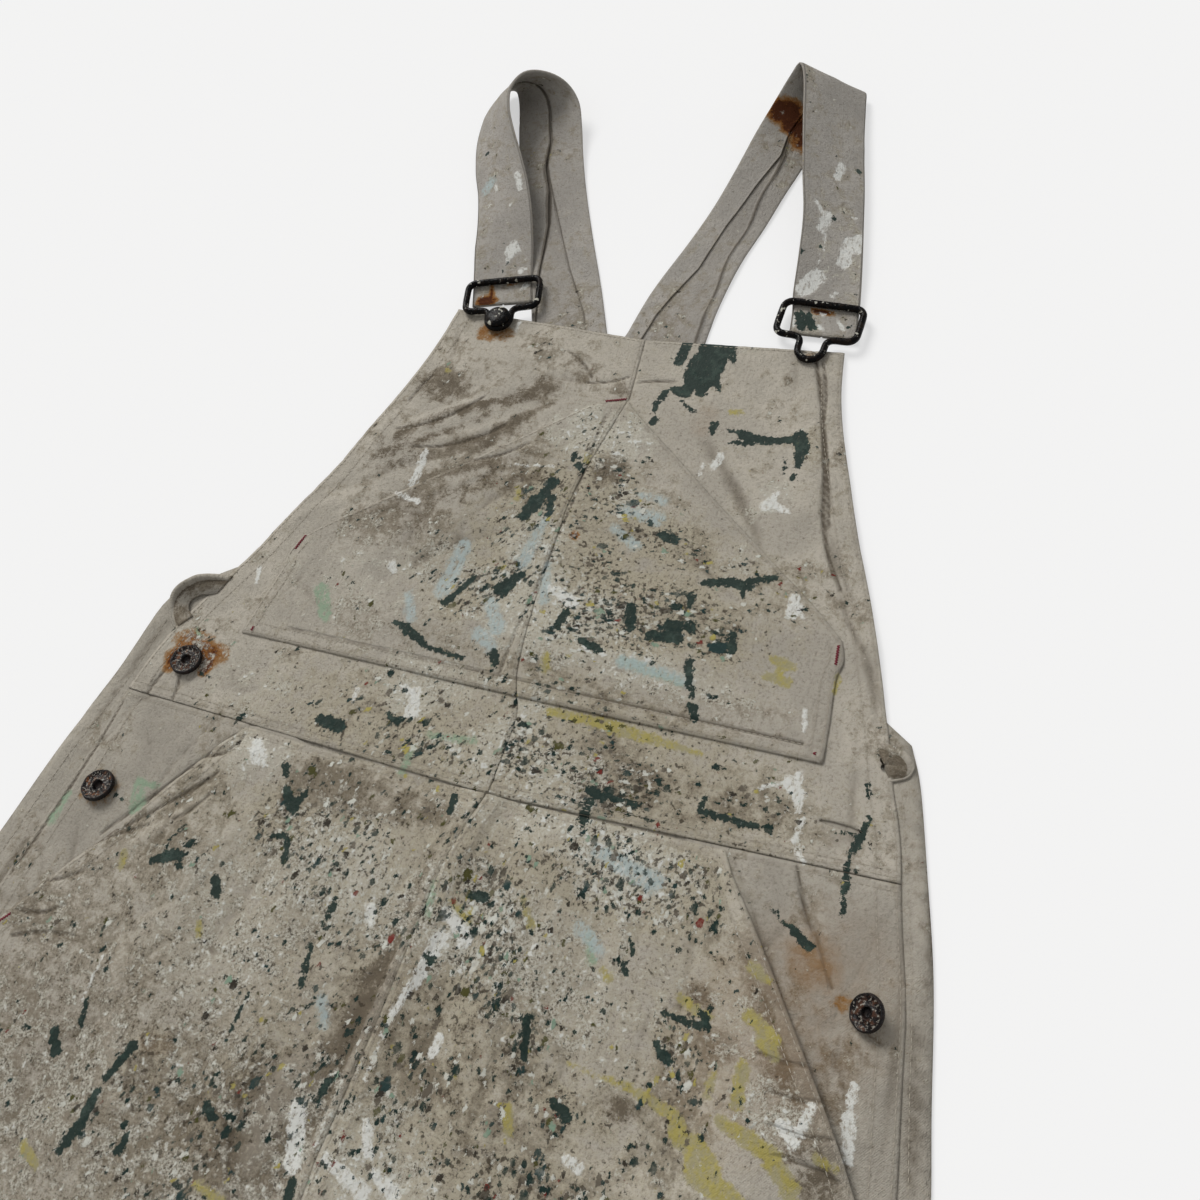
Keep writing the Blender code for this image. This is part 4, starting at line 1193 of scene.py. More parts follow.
# Cell size in mm, largest radius as a share of the cell, shift, weight of the density, and
# how far into the table of colours the layer reaches.
DROP_LAYERS = ((2.5, 0.52, 0, 0.98, 1.0), (4.4, 0.47, 31, 0.74, 0.95),
               (11.0, 0.36, 67, 0.44, 0.70))
print(len(DROP_COLOURS), "colours of drops in", len(DROP_LAYERS), "layers")

# %% [markdown]
# The recipe starts at the bare cloth and lays each stain and paint over the colour so far.
# The dirt and the pale paint that many layers share are worked out first, as noise.

# %% Cloth material
def shade(colour, share):
    """The same colour, darker or paler by a share."""
    return tuple(share * part for part in colour)


def cloth_material(name, cream=CREAM, spatter=1.0, dirt_and_shade_share=1.0):
    """Worn drill with its soiling and paint, and painted shade in its troughs, grooves and folds,
    on the stored cloth coordinates.
    """
    r = Recipe(name, Specular_IOR_Level=0.2)
    place, fall = r.place("cloth"), r.place("fall")
    broad = r.noise(place, 46, 4.0, 0.6) - 0.5
    patchy = r.noise(place, 10, 5.0, 0.72) - 0.5
    fine = r.noise(place, 1.5, 3.0, 0.8) - 0.5
    brushed = r.noise(r.moved(place, (1.0, 0.5, 0)), 2.6, 5.0, 0.8) - 0.5
    flake = r.noise(place, 5.5, 2.0, 0.6) - 0.5
    grit = r.noise(place, 2.6, 1.0, 0.5) - 0.5
    relief, fold = r.stored("relief"), r.stored("fold")
    edge, stitch = r.stored("edge"), r.stored("stitch")
    work = r.stored("specks") * spatter

    # Clean cloth, mottled by washing, with a fine grain that is coarser where it was worked.
    colour = r.mix(broad.step(-0.18, 0.18), shade(cream, 0.87), shade(cream, 1.07))
    worked = work * 1.3 + patchy * 1.6 + broad
    colour = r.mix(worked.step(0.05, 0.75) * 0.75, colour, WORKED)
    grain = (0.0 - fine - brushed * 0.5 - grit * 0.35) * (1.2 + work * 2.6)
    colour = r.mix(grain.clamped(), colour, shade(DIRT_AND_SHADE, 0.9))

    # Grime in three strengths, with painted shade where the grime blots stand for it; the last is
    # dirt and painted shade in troughs, stitch grooves and at edges. Ridges are rubbed pale and
    # painted lighter as lit.
    grime = r.stored("grime")
    grime_stain_and_shade = grime * 1.1 + broad * 2.4 + patchy * 2.4 + fine * 0.9 + work * 0.25
    colour = r.mix(grime_stain_and_shade.step(0.14, 0.85) * 0.85 * dirt_and_shade_share, colour, SOIL_AND_SHADE)
    deep = grime + patchy * 2.4 + fine * 1.6 + work * 0.2
    colour = r.mix(deep.step(0.55, 1.00) * 0.75 * dirt_and_shade_share, colour, DIRT_AND_SHADE)
    groove_shade_and_dirt = (relief.step(0.0, -1.4) * 0.60 + stitch.step(1.5, 0.2) * 0.14
            + edge.step(1.0, 0.0) * 0.15) * (1 + fine * 2.0)
    colour = r.mix((groove_shade_and_dirt * dirt_and_shade_share).clamped(), colour, DIRT_AND_SHADE)
    worn_and_lit = relief.step(0.15, 1.1) * 0.22 + edge.step(3.0, 0.6) * patchy.step(-0.1, 0.1) * 0.2
    colour = r.mix(worn_and_lit.clamped(), colour, shade(cream, 1.25))
    # Painted shadow lines along the crisp folds, the strap flaps and the curled hollows.
    colour = r.mix((fold + patchy * 1.5).step(1.3, 0.2) * 0.7, colour, shade(DIRT_AND_SHADE, 0.8))

    # Orange stains and rust.
    colour = r.mix((r.stored("orange") * (patchy * 2 + 0.8)).clamped(), colour, ORANGE_STAIN)
    rust = r.stored("rust") + patchy * 1.6 + fine * 0.5
    rusty = r.stored("rust").step(0.0, 0.2)
    colour = r.mix(rust.step(0.02, 0.46) * rusty * 0.85, colour, RUST_WASH)
    colour = r.mix(rust.step(0.32, 0.72) * rusty * 0.85, colour, RUST_BRIGHT)
    colour = r.mix(rust.step(0.62, 0.85) * rusty * 0.92, colour, RUST_DARK)

    # Dry pale paint that caught only the top of the weave, and dark grit.
    crust = r.stored("crust") * spatter
    film = crust * 1.15 + patchy * 2.6 + broad * 1.4 + flake * 0.9 - 0.36
    colour = r.mix(film.step(0.0, 0.45) * (0.5 - fine * 3.0).clamped(), colour, PAINT_PALE)
    flecks = crust * 0.95 + flake * 2.1 + grit * 1.7 + patchy * 1.3 - 0.86
    colour = r.mix(flecks.step(0.0, 0.14) * 0.62, colour, PAINT_PALE)
    colour = r.mix(flecks.step(0.30, 0.42) * 0.88, colour, PAINT_WHITE)
    pepper = work * 0.55 - flake * 1.2 - grit * 2.0 + patchy * 1.1 - 0.74
    colour = r.mix(pepper.step(0.0, 0.12) * work.step(0.02, 0.2) * 0.75, colour,
                   shade(DIRT_AND_SHADE, 0.45))

    # The large marks.
    wander = (r.noise(place, 3.6, 3.0, 0.65) - 0.5) * 5.4 + brushed * 3.4 + fine * 1.2
    mint = (r.stored("mint") + wander).step(1.2, -1.2) * brushed.step(-0.18, 0.04)
    colour = r.mix(mint * 0.8, colour, PAINT_MINT)
    cool = (r.stored("cool") + wander * 1.3).step(1.6, -2.0) * brushed.step(-0.18, 0.04)
    colour = r.mix(cool * 0.80, colour, PAINT_BLUE)
    yellow = (r.stored("yellow") + wander).step(0.9, -1.0)
    tint = r.mix(patchy.step(-0.1, 0.1), PAINT_YELLOW_THIN, PAINT_YELLOW)
    colour = r.mix(yellow * brushed.step(-0.22, -0.05) * 0.9, colour, tint)
    white = (r.stored("white") + wander).step(0.6, -0.8)
    colour = r.mix(white * brushed.step(-0.16, 0.0) * 0.92, colour, PAINT_WHITE)

    # Drops, each layer with its own size. Warped coordinates keep them from being round.
    warp = r.node("ShaderNodeTexNoise", {"noise_dimensions": "2D"},
                  {"Vector": fall, "Scale": 0.30, "Detail": 4.0, "Roughness": 0.8},
                  output="Color")
    ragged = r.moved(warp, (5.2, 5.2, 0), fall)
    thick = work + broad * 1.7 + patchy * 1.1
    drops = 0.0
    for size, reach, shift, weight, colours in DROP_LAYERS:
        where = r.moved(ragged, (1, 1, 0), (shift, 1.7 * shift, 0))
        cells = r.node("ShaderNodeTexVoronoi", {"voronoi_dimensions": "2D"},
                       {"Vector": where, "Scale": 1 / size})
        chance = r.node("ShaderNodeSeparateColor", {}, {0: cells.other("Color")})
        size_of = ((thick * weight - chance) * 2.2).clamped()
        spread = chance.other("Green")
        limit = size_of * reach * (0.28 + spread * spread * 1.1)
        drop = (limit - cells + brushed * 0.24 * size_of).step(0.0, 0.05)
        paint = r.ramp(chance.other("Blue") * colours, DROP_COLOURS)
        colour = r.mix(drop * (0.88 + patchy * 1.5).clamped(), colour, paint)
        drops = drop + drops

    # Green paint, with painted shade in the open buttonholes.
    green = (r.stored("green") + wander).step(0.35, -0.25) * brushed.step(-0.24, -0.14)
    tint = r.mix(patchy.step(0.0, 0.16) * 0.7, GREEN_DARK, GREEN_THIN)
    colour = r.mix(green * 0.97, colour, tint)

    solid = (yellow * 0.5 + white + green + drops).clamped()
    ribs = r.node("ShaderNodeTexWave", {"wave_type": "BANDS", "bands_direction": "X"},
                  {"Vector": r.turned(place, 38), "Scale": 0.36, "Distortion": 1.5,
                   "Detail": 1.0})
    height = ((ribs * 0.10 + fine * 0.8) * (1 - solid * 0.5) + solid * 0.25
              + flecks.step(0.0, 0.2) * 0.25 + patchy * 1.1 + brushed * 0.5
              - fold.step(2.0, 0.0) * 0.9)
    roughness = 0.93 - solid * 0.36
    return r.finish(colour, roughness, height, 0.0011)


drill = cloth_material("drill")
pocket_drill = cloth_material("pocket_drill", cream=shade(CREAM, 0.93))
# The back panels, their curled corners and the pocket facings get a darker cream as painted
# shade.
shaded_back_drill = cloth_material("shaded_back_drill", cream=shade(CREAM, 0.84))
for name, thing in shells.items():
    kind = drill
    if "bib_pocket" in name:
        kind = pocket_drill
    elif "back" in name or "facing" in name:
        kind = shaded_back_drill
    thing.data.materials.append(kind)
print("cloth material with", len(drill.node_tree.nodes), "nodes")

# %% [markdown]
# ## Shoulder straps
# A strap is one long cloth with both sides folded in to the middle, so its inner side
# shows two flaps and a sunk band between them. The straps rise from the back panels, fold
# over and come down to the buckles. Each section below gives the two edges of a strap.

# %% Strap lines
Section = namedtuple("Section", "x_high y_high z_high x_low y_low z_low")
LEFT_STRAP = table_of(
    Section, (-17, -12, 1, -66, -32, 1), (-25, 6, 1, -74, -10, 1), (-42, 45, 1, -89, 29, 1),
    (-64, 92, 1, -109, 76, 1), (-83, 135, 1.5, -128, 119, 1), (-95, 166, 4, -143, 154, 1),
    (-103, 190, 9, -155, 186, 1.5), (-110, 208, 16, -164, 212, 2), (-121, 217, 25, -170, 226, 3),
    (-135, 216, 34, -174, 231, 3.5), (-148, 209, 39, -179, 230, 4),
    (-154, 194, 38.5, -184, 219, 5), (-150, 176, 36, -186, 198, 6), (-140, 156, 32, -182, 168, 6),
    (-128, 136, 27, -172, 138, 6), (-118, 118, 22, -160, 112, 6.5), (-108, 95, 16, -150, 85, 7),
    (-100, 70, 8, -143, 60, 5.5), (-94, 48, 3, -136, 38, 3), (-86, 24, 2.3, -128, 14, 2.3),
)
RIGHT_STRAP = table_of(
    Section, (-15, -12, 1, 43, -20, 1), (-11, 8, 1, 43, 2, 1), (-5, 45, 1, 44, 38, 1),
    (8, 88, 2.5, 49, 78, 1), (18, 124, 5, 57, 113, 1), (25, 158, 8, 64, 148, 1),
    (32, 188, 14, 72, 180, 1.5), (41, 208, 24, 81, 206, 2), (49, 221, 34, 90, 230, 3),
    (55, 228, 40, 97, 243, 4.5), (62, 210, 40, 101, 226, 6), (70, 172, 34, 108, 187, 7),
    (78, 136, 28, 117, 146, 7), (85, 106, 21, 123, 115, 7), (88, 78, 12, 129, 83, 7),
    (90, 53, 4.2, 134, 53, 4.2), (93, 38, 3.4, 136, 37, 3.4), (95, 21, 2.8, 138, 21, 2.8),
)


def row_at(rows, place):
    """A row of a table at a fractional place, on a smooth curve through the table."""
    first = min(int(place), len(rows) - 2)
    t = place - first
    known = [np.array(rows[max(0, min(len(rows) - 1, first + k))]) for k in (-1, 0, 1, 2)]
    before, start, end, after = known
    if first == 0:
        before = 2 * start - end
    if first == len(rows) - 2:
        after = 2 * end - start
    return curve(before, start, end, after, t)


STRAP_STEP = 2.2        # spacing of the sections of a strap's mesh, mm


def strap_frame(sections):
    """Evenly spaced middle points of a strap with its edge to edge line and its normal."""
    dense = np.array([row_at(sections, t) for t in np.linspace(0, len(sections) - 1, 700)])
    middle = (dense[:, :3] + dense[:, 3:]) / 2
    length = np.append(0, np.cumsum(np.linalg.norm(np.diff(middle, axis=0), axis=1)))
    wanted = np.linspace(0, length[-1], int(length[-1] / STRAP_STEP) + 1)
    rows = np.column_stack([np.interp(wanted, length, dense[:, k]) for k in range(6)])
    high, low = rows[:, :3], rows[:, 3:]
    along = np.gradient((high + low) / 2, axis=0)
    normal = np.cross(along, low - high)
    normal /= np.linalg.norm(normal, axis=1, keepdims=True)
    return wanted, high, low, normal


STRAPS = {"left": LEFT_STRAP, "right": RIGHT_STRAP}
for word, sections in STRAPS.items():
    print(word, "strap", round(strap_frame(sections)[0][-1]), "mm long")

# %% [markdown]
# The section of a strap is drawn as a line round the folded cloth: the outer face, a
# rounded fold, a flap, the band under it, the other flap and the other fold. The flaps
# have spread apart towards the back panels. One flap's edge has come away from the band
# and leaves a slit, which is painted dark as shade.

# %% Folded straps
# s in mm from the back end, edges of the two flaps as shares of the width, and their lift.
Flaps = namedtuple("Flaps", "s high low lift_high lift_low")
FLAPS = {
    "left": table_of(Flaps, (0, 0.28, 0.97, 0.0, 0.1), (40, 0.28, 0.95, 0.0, 0.3),
             (85, 0.41, 0.85, 0.05, 0.5), (130, 0.47, 0.64, 0.05, 1.2),
             (165, 0.52, 0.57, 0.1, 2.2), (190, 0.56, 0.59, 0.1, 1.4),
             (215, 0.47, 0.50, 0.0, 0.1), (600, 0.47, 0.50, 0.0, 0.0)),
    "right": table_of(Flaps, (0, 0.20, 0.83, 0.1, 0.7), (40, 0.24, 0.88, 0.1, 0.8),
              (85, 0.42, 0.80, 0.05, 0.7), (125, 0.40, 0.73, 0.05, 0.7),
              (165, 0.48, 0.66, 0.1, 0.8), (195, 0.57, 0.61, 0.1, 0.8),
              (215, 0.47, 0.50, 0.0, 0.1), (600, 0.47, 0.50, 0.0, 0.0)),
}
INNER_SIDE = {"left": 1, "right": -1}      # which way the flaps face along the normal


def folded_section(a, b, open_high, open_low):
    """(u, n) points round a folded strap: u runs edge to edge, n in mm, inner side up."""
    b = max(b, a + 0.03)
    gap = (b - a) / 4
    points = [(u, -1.0) for u in np.linspace(0.03, 0.97, 17)]
    points += [(0.992, -0.75), (1.0, -0.2), (1.0, 0.3), (0.992, 0.8)]
    points += [(u, 1.0) for u in np.linspace(0.97, min(b + 0.05, 0.975), 6)]
    points += [(b + 0.012, 1.0 + 0.7 * open_low), (b, 0.9 + open_low),
               (b, 0.25 + open_low), (b + 0.015, 0.12 + 0.5 * open_low),
               (min(b + 0.05, 0.99), 0.06), (b + 0.01, 0.0), (b - 0.5 * gap, 0.0)]
    points += [(u, 0.0) for u in np.linspace(b - gap, a + gap, 6)]
    points += [(a + 0.5 * gap, 0.0), (a - 0.01, 0.0), (a - 0.05, 0.06),
               (a - 0.015, 0.12 + 0.5 * open_high), (a, 0.25 + open_high),
               (a, 0.9 + open_high), (a - 0.012, 1.0 + 0.7 * open_high)]
    points += [(u, 1.0) for u in np.linspace(a - 0.05, 0.03, 6)]
    points += [(0.008, 0.8), (0.0, 0.3), (0.0, -0.2), (0.008, -0.75)]
    return np.array(points)


print("points round a strap", len(folded_section(0.3, 0.9, 0.0, 0.0)))

# %% [markdown]
# Paint and rust on the straps are placed on the strap's own cloth, and those that show
# through a buckle are placed from the strap's end.

# %% Marks on the straps
STRAP_STROKES = {       # u is across in mm from the left, s along in mm above the buckle
    "left": {
        "white": table_of(Stroke, (17, 23.2, 14, 24.3, 4.6, 4.8), (18, 16.4, 14, 28.9, 2, 3),
                  (7, 74.1, 7, 87.6, 2.4, 3), (28, 79.7, 28, 85.4, 1.2, 1.4),
                  (34, 67.3, 34, 70.7, 1.6, 1), (16, 60.5, 16, 63.9, 1, 1),
                  (9, 6.3, 6, 7.4, 2.4, 2), (34, 56, 34, 58.2, 1.2, 0.8)),
        "cool": table_of(Stroke, (37, 83.1, 32, 89.9, 4, 4.4),),
        "green": table_of(Stroke, (36, 117, 34, 118.1, 1.5, 1.3), (21, 8.5, 21, 9.6, 1.3, 1.1),
                  (18, 14.2, 18, 15.3, 0.9, 0.8), (22, 31.1, 22, 31.1, 0.9, 0.8),
                  (11, 28.9, 11, 28.9, 0.8, 0.8)),
    },
    "right": {
        "white": table_of(Stroke, (8, 15.8, 14, 24.2, 6.5, 5.5), (3, 14.6, 6, 9.8, 3, 2.4),
                  (30, 36.2, 31, 53, 5, 3), (37, 45.8, 38, 55.4, 3.6, 4.2),
                  (13, 60.2, 16, 71, 3.6, 3.8), (11, 74.6, 9, 80.6, 1.6, 1.2),
                  (16, 55.4, 14, 33.8, 0.8, 0.7), (25, 103.4, 29, 115.4, 2.6, 3.2),
                  (34, 72.2, 35, 73.4, 1.6, 1.5), (8, 156.2, 10, 156.2, 1.2, 1),
                  (26, 11, 27, 13.4, 1.8, 1.2)),
        "green": table_of(Stroke, (21, 68.6, 21, 69.8, 2, 1.8), (27, 56.6, 27, 56.6, 1.6, 1.4),
                  (13, 45.8, 13, 45.8, 1.7, 1.6), (1, 41, 1, 42.2, 1.6, 1.8),
                  (41, 115.4, 43, 114.2, 1.6, 1.6), (41, 14.6, 41, 14.6, 1, 1)),
    },
}
BUCKLE_FROM_END = 22.0  # a strap's end reaches this far past the buckle's top bar, mm
WINDOW_STROKES = {      # u across, s up from the strap's end, seen through the buckle
    "left": {"white": table_of(Stroke, (7, 12, 4, 16, 2.0, 2.4), (13, 17, 12, 18, 1.0, 1.0))},
    "right": {"green": table_of(Stroke, (5, 15, 7, 5, 3.2, 2.6), (11, 14, 14, 6, 3.0, 2.6),
                        (7, 10, 16, 5, 2.0, 1.6), (37, 9, 38, 10, 1.0, 1.0)),
              "white": table_of(Stroke, (1, 16, 2, 6, 1.6, 1.8), (18, 8, 20, 5, 2.0, 1.8),
                        (30, 14, 34, 7, 1.2, 1.6), (16, 17, 22, 17, 1.2, 1.0))},
}
# u, s from the back end or, if negative, from the front end, half sizes, inner side or not
STRAP_RUST = {"left": ((33, -4, 9, 5, False), (29, -9, 2.5, 10, False),
                       (14, -20, 6, 3, False)),
              "right": ((10, 226, 14, 12, True), (20, 221, 12, 10, True),
                        (33, 222, 14, 20, True), (20, -19, 8, 3, False))}


def strap_marks(thing, word, across, length, total, inner):
    """Paint, rust and soiling on a strap, on its own cloth coordinates."""
    above = total - BUCKLE_FROM_END - length
    from_end = total - length
    for name, _ in PAINTS:
        distance = stroke_distance(across, above, STRAP_STROKES[word].get(name, ()))
        window = stroke_distance(across, from_end, WINDOW_STROKES[word].get(name, ()))
        set_values(thing, name, np.where(inner, FAR, np.minimum(distance, window)))
    rust = np.zeros(len(across))
    for u, s, wide, tall, on_inner in STRAP_RUST[word]:
        s = s if s > 0 else total + s
        blot = np.clip(1.25 - ((across - u) / wide) ** 2 - ((length - s) / tall) ** 2, 0, 1)
        rust = np.maximum(rust, np.where(inner == on_inner, blot, 0))
    set_values(thing, "rust", rust)
    for name, amount in (("grime", 0.10), ("orange", 0.0), ("specks", 0.10)):
        set_values(thing, name, np.full(len(across), amount))
    worn = np.exp(-((above - 30) / 40) ** 2) * (word == "right")
    set_values(thing, "crust", np.where(inner, 0, 0.08 + 0.25 * worn))


print("strokes on the straps", sum(len(strokes) for table in (STRAP_STROKES, WINDOW_STROKES)
                                  for marks in table.values() for strokes in marks.values()))

# %% [markdown]
# The strap's mesh is one such section after another, joined by four-sided faces.

# %% Straps
def quads(rows, count, around=True):
    """Faces between neighbouring rows of count points, closed round each row or not."""
    return [(row * count + k, row * count + (k + 1) % count,
             (row + 1) * count + (k + 1) % count, (row + 1) * count + k)
            for row in range(rows - 1) for k in range(count if around else count - 1)]


STRAP_WIDTH = 43        # at the buckle, mm
STRAP_LOWEST = 0.05     # no point of a strap comes nearer to the table than this, mm
straps = []
for word, sections in STRAPS.items():
    side = INNER_SIDE[word]
    lengths, high, low, normal = strap_frame(sections)
    width = np.linalg.norm(high - low, axis=1)
    flaps = np.array(FLAPS[word])
    points, place = [], []
    for index, s in enumerate(lengths):
        spread = [np.interp(s, flaps[:, 0], flaps[:, k]) for k in range(1, 5)]
        wave = soft_noise(np.array([s]), np.array([0.0]), 14, seed=3)[0]
        spread[2] *= 1 + 0.5 * wave
        spread[3] *= 1 - 0.5 * wave
        if word == "right":
            spread[1] += 0.022 * math.sin(s / 9)
        section = folded_section(*spread)
        u, n = section[:, 0], section[:, 1]
        x, y = u * width[index], np.full(len(u), s)
        ripple = 0.45 * soft_noise(x, y, 16, 90, 2.2, 5) + 0.35 * crumple(x, y, 26, 80, 9)
        centre = high[index] + np.outer(u, low[index] - high[index])
        points.append(centre + np.outer(n + ripple, normal[index] * side))
        place.append(np.column_stack([x, y, n, u] + [np.full(len(u), v) for v in
                                                     (spread[0], spread[1], spread[3])]))
    around = len(points[0])
    points, place = np.concatenate(points), np.concatenate(place)
    points[:, 2] = np.maximum(points[:, 2], STRAP_LOWEST)
    faces = quads(len(lengths), around)
    faces.append(tuple(range(around - 1, -1, -1)))
    faces.append(tuple(range((len(lengths) - 1) * around, len(lengths) * around)))
    thing = new_piece("cloth_strap_" + word, points, faces)
    across, length = place[:, 0], place[:, 1]
    inner = place[:, 2] > -0.9
    cloth = np.column_stack([across + 400 + 60 * inner, length, 0 * length])
    set_vectors(thing, "cloth", cloth)
    set_vectors(thing, "fall", cloth)
    strap_marks(thing, word, across, length, lengths[-1], inner)
    u = place[:, 3]
    set_values(thing, "edge", np.maximum(np.minimum(u, 1 - u) * STRAP_WIDTH, 0))
    set_values(thing, "stitch", np.full(len(across), NO_STITCH))
    # Painted shadow lines: on the outer face over the hidden flap edges, and on the inner side
    # along the flap edges and the slit.
    hidden_flap_shadow = np.minimum(np.abs(u - 0.27), np.abs(u - 0.62)) * STRAP_WIDTH + 1.3
    flap_edge_shade = np.minimum(np.abs(u - place[:, 4]) * STRAP_WIDTH,
                      np.abs(u - place[:, 5]) * STRAP_WIDTH - 0.8 * place[:, 6])
    set_values(thing, "fold", np.clip(np.where(inner, flap_edge_shade + 0.2, hidden_flap_shadow), 0, FOLD_FAR))
    # The sunk band between the flaps is painted darker as shade, through its low relief.
    set_values(thing, "relief", np.where(inner & (place[:, 2] < 0.5), -0.5, 0.0))
    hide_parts("strap_" + word)
    straps.append(thing)
    shells["back_" + word]
    shells["bib_" + word]
    print("strap", word, round(lengths[-1]), "mm long,", len(faces), "faces")

strap_drill = cloth_material("strap_drill", cream=(0.392, 0.368, 0.332), spatter=0.8, dirt_and_shade_share=0.7)
for thing in straps:
    thing.data.materials.append(strap_drill)

# %% [markdown]
# ## Stitches
# Seams are chain or lock stitched with cotton thread. Each stitch shows as a short
# rounded bar that dips into the cloth at both ends. All the stitches of a panel are one
# object, set along the rows that were measured for the shell.

# %% Thread
STITCH_PITCH = 3.4      # mm
STITCH_LENGTH = 2.7
THREAD_RADIUS = 0.23
MISSING = 0.02          # share of the stitches that have worn away


def stitch_bar(start, end, radius):
    """A low rounded bar from one point to another: three rings and two tips."""
    start, end = np.asarray(start, float), np.asarray(end, float)
    ahead = (end - start) / max(np.linalg.norm(end - start), 1e-9)
    side = np.cross(ahead, (0, 0, 1))
    side /= max(np.linalg.norm(side), 1e-9)
    up = np.cross(side, ahead)
    points = [start - 0.15 * up]
    for t, size in ((0.14, 0.8), (0.5, 1.1), (0.86, 0.8)):
        centre = start + (end - start) * t + up * radius * 0.5 * size
        for k in range(6):
            angle = 2 * math.pi * k / 6
            points.append(centre + radius * size * (math.cos(angle) * side
                                                   + math.sin(angle) * up))
    points.append(end - 0.15 * up)
    faces = [(0, 1 + (k + 1) % 6, 1 + k) for k in range(6)]
    faces += [tuple(1 + v for v in face) for face in quads(3, 6)]
    faces += [(13 + k, 13 + (k + 1) % 6, 19) for k in range(6)]
    return points, faces


def add_bar(points, bars, ends, radius):
    """Adds one stitch to the points and faces of many."""
    bar_points, bar_faces = stitch_bar(*ends, radius)
    bars += [tuple(v + len(points) for v in face) for face in bar_faces]
    points += bar_points


def thread_material(name, colour, roughness):
    recipe = Recipe(name, Specular_IOR_Level=0.25)
    recipe.give(recipe.shader.inputs["Base Color"], (*colour, 1))
    recipe.give(recipe.shader.inputs["Roughness"], roughness)
    return recipe.material


def stitched(name, rows, plan, top, faces):
    """Stitches along rows of plan points, on the surface of a panel."""
    tree = BVHTree.FromPolygons([(p[0], p[1], h) for p, h in zip(plan, top)],
                                [tuple(int(v) for v in f) for f in faces])
    points, bars = [], []
    chance = np.random.default_rng(len(name))

    def on_cloth(place):
        hit = tree.ray_cast(Vector((place[0], place[1], RAY_START)), DOWN)[0]
        return None if hit is None else np.array(hit)

    for row in rows:
        steps = np.linalg.norm(np.diff(row, axis=0), axis=1)
        length = np.append(0, np.cumsum(steps))
        for start in np.arange(0.6, length[-1] - STITCH_PITCH, STITCH_PITCH):
            if chance.random() < MISSING:
                continue
            ends = []
            for s in (start, start + STITCH_LENGTH):
                spot = (np.interp(s, length, row[:, 0]), np.interp(s, length, row[:, 1]))
                ends.append(on_cloth(spot))
            if ends[0] is None or ends[1] is None:
                continue
            if np.linalg.norm(ends[1] - ends[0]) > 1.6 * STITCH_LENGTH:
                continue
            add_bar(points, bars, ends, THREAD_RADIUS)
    return new_piece(name, np.array(points), bars)


cotton = thread_material("thread", (0.37, 0.335, 0.275), 0.85)
for node, rows in stitch_rows.items():
    if rows:
        thing = stitched("thread_" + node, rows, *surfaces[node])
        thing.data.materials.append(cotton)
        print(thing.name, len(thing.data.polygons), "faces")

# %% [markdown]
# ## Bar tacks
# The ends of the pockets' seams take the pull of a hand, so they are locked with bar tacks:
# a dense zigzag of red thread, up to about a centimetre long.

# %% Bar tacks
TACKS = ((-7, -51, 6, -47), (173.5, -190, 174.5, -202), (-168, -185, -171, -196),
         (-173, -253, -173.4, -256), (-240, -457, -235, -451), (175, -253, 175, -255))
TACK_PITCH, TACK_WIDTH, TACK_THREAD = 0.75, 1.0, 0.36      # mm
heights, links = [], []
for plan, top, faces in surfaces.values():
    links += [tuple(int(v) + len(heights) for v in face) for face in faces]
    heights += [(p[0], p[1], h) for p, h in zip(plan, top)]
cloth_top = BVHTree.FromPolygons(heights, links)
points, bars = [], []
for x0, y0, x1, y1 in TACKS:
    start, end = np.array((x0, y0), float), np.array((x1, y1), float)
    length = np.linalg.norm(end - start)
    ahead = (end - start) / length
    across = np.array((-ahead[1], ahead[0]))
    for step in range(int(length / TACK_PITCH)):
        side = 1 if step % 2 else -1
        spots = (start + ahead * step * TACK_PITCH - side * across * TACK_WIDTH,
                 start + ahead * (step + 1) * TACK_PITCH + side * across * TACK_WIDTH)
        hits = [cloth_top.ray_cast(Vector((*spot, RAY_START)), DOWN)[0] for spot in spots]
        if None in hits:
            continue
        add_bar(points, bars, hits, TACK_THREAD)
tacks = new_piece("bar_tacks", np.array(points), bars)
tacks.data.materials.append(thread_material("tack_thread", (0.165, 0.020, 0.034), 0.8))
print("bar tacks", len(TACKS), "with", len(bars), "faces")

# %% [markdown]
# ## Rolled corners of the back
# At each side opening the top corner of the back panel has curled up and over, so the inside
# of the cloth shows as a small hollow behind its rim, painted dark as shade. The curl is a strip
# with one section repeated along the rim, and it flattens out at both ends.

# %% Rolled corners
Curl = namedtuple("Curl", "side rim focus height")
CURLS = (
    Curl("left", ((-206, -224.5), (-213, -225.5), (-221, -227.3), (-229, -231), (-236, -239.6),
                  (-237.5, -247), (-235.5, -254), (-231, -260), (-226, -264)),
         (-213, -247), 7.0),
    Curl("right", ((204, -241.2), (211, -242.0), (217.5, -243.4), (222, -247), (223.4, -251),
                   (221, -255), (214, -258)), (210, -251), 2.4),
)
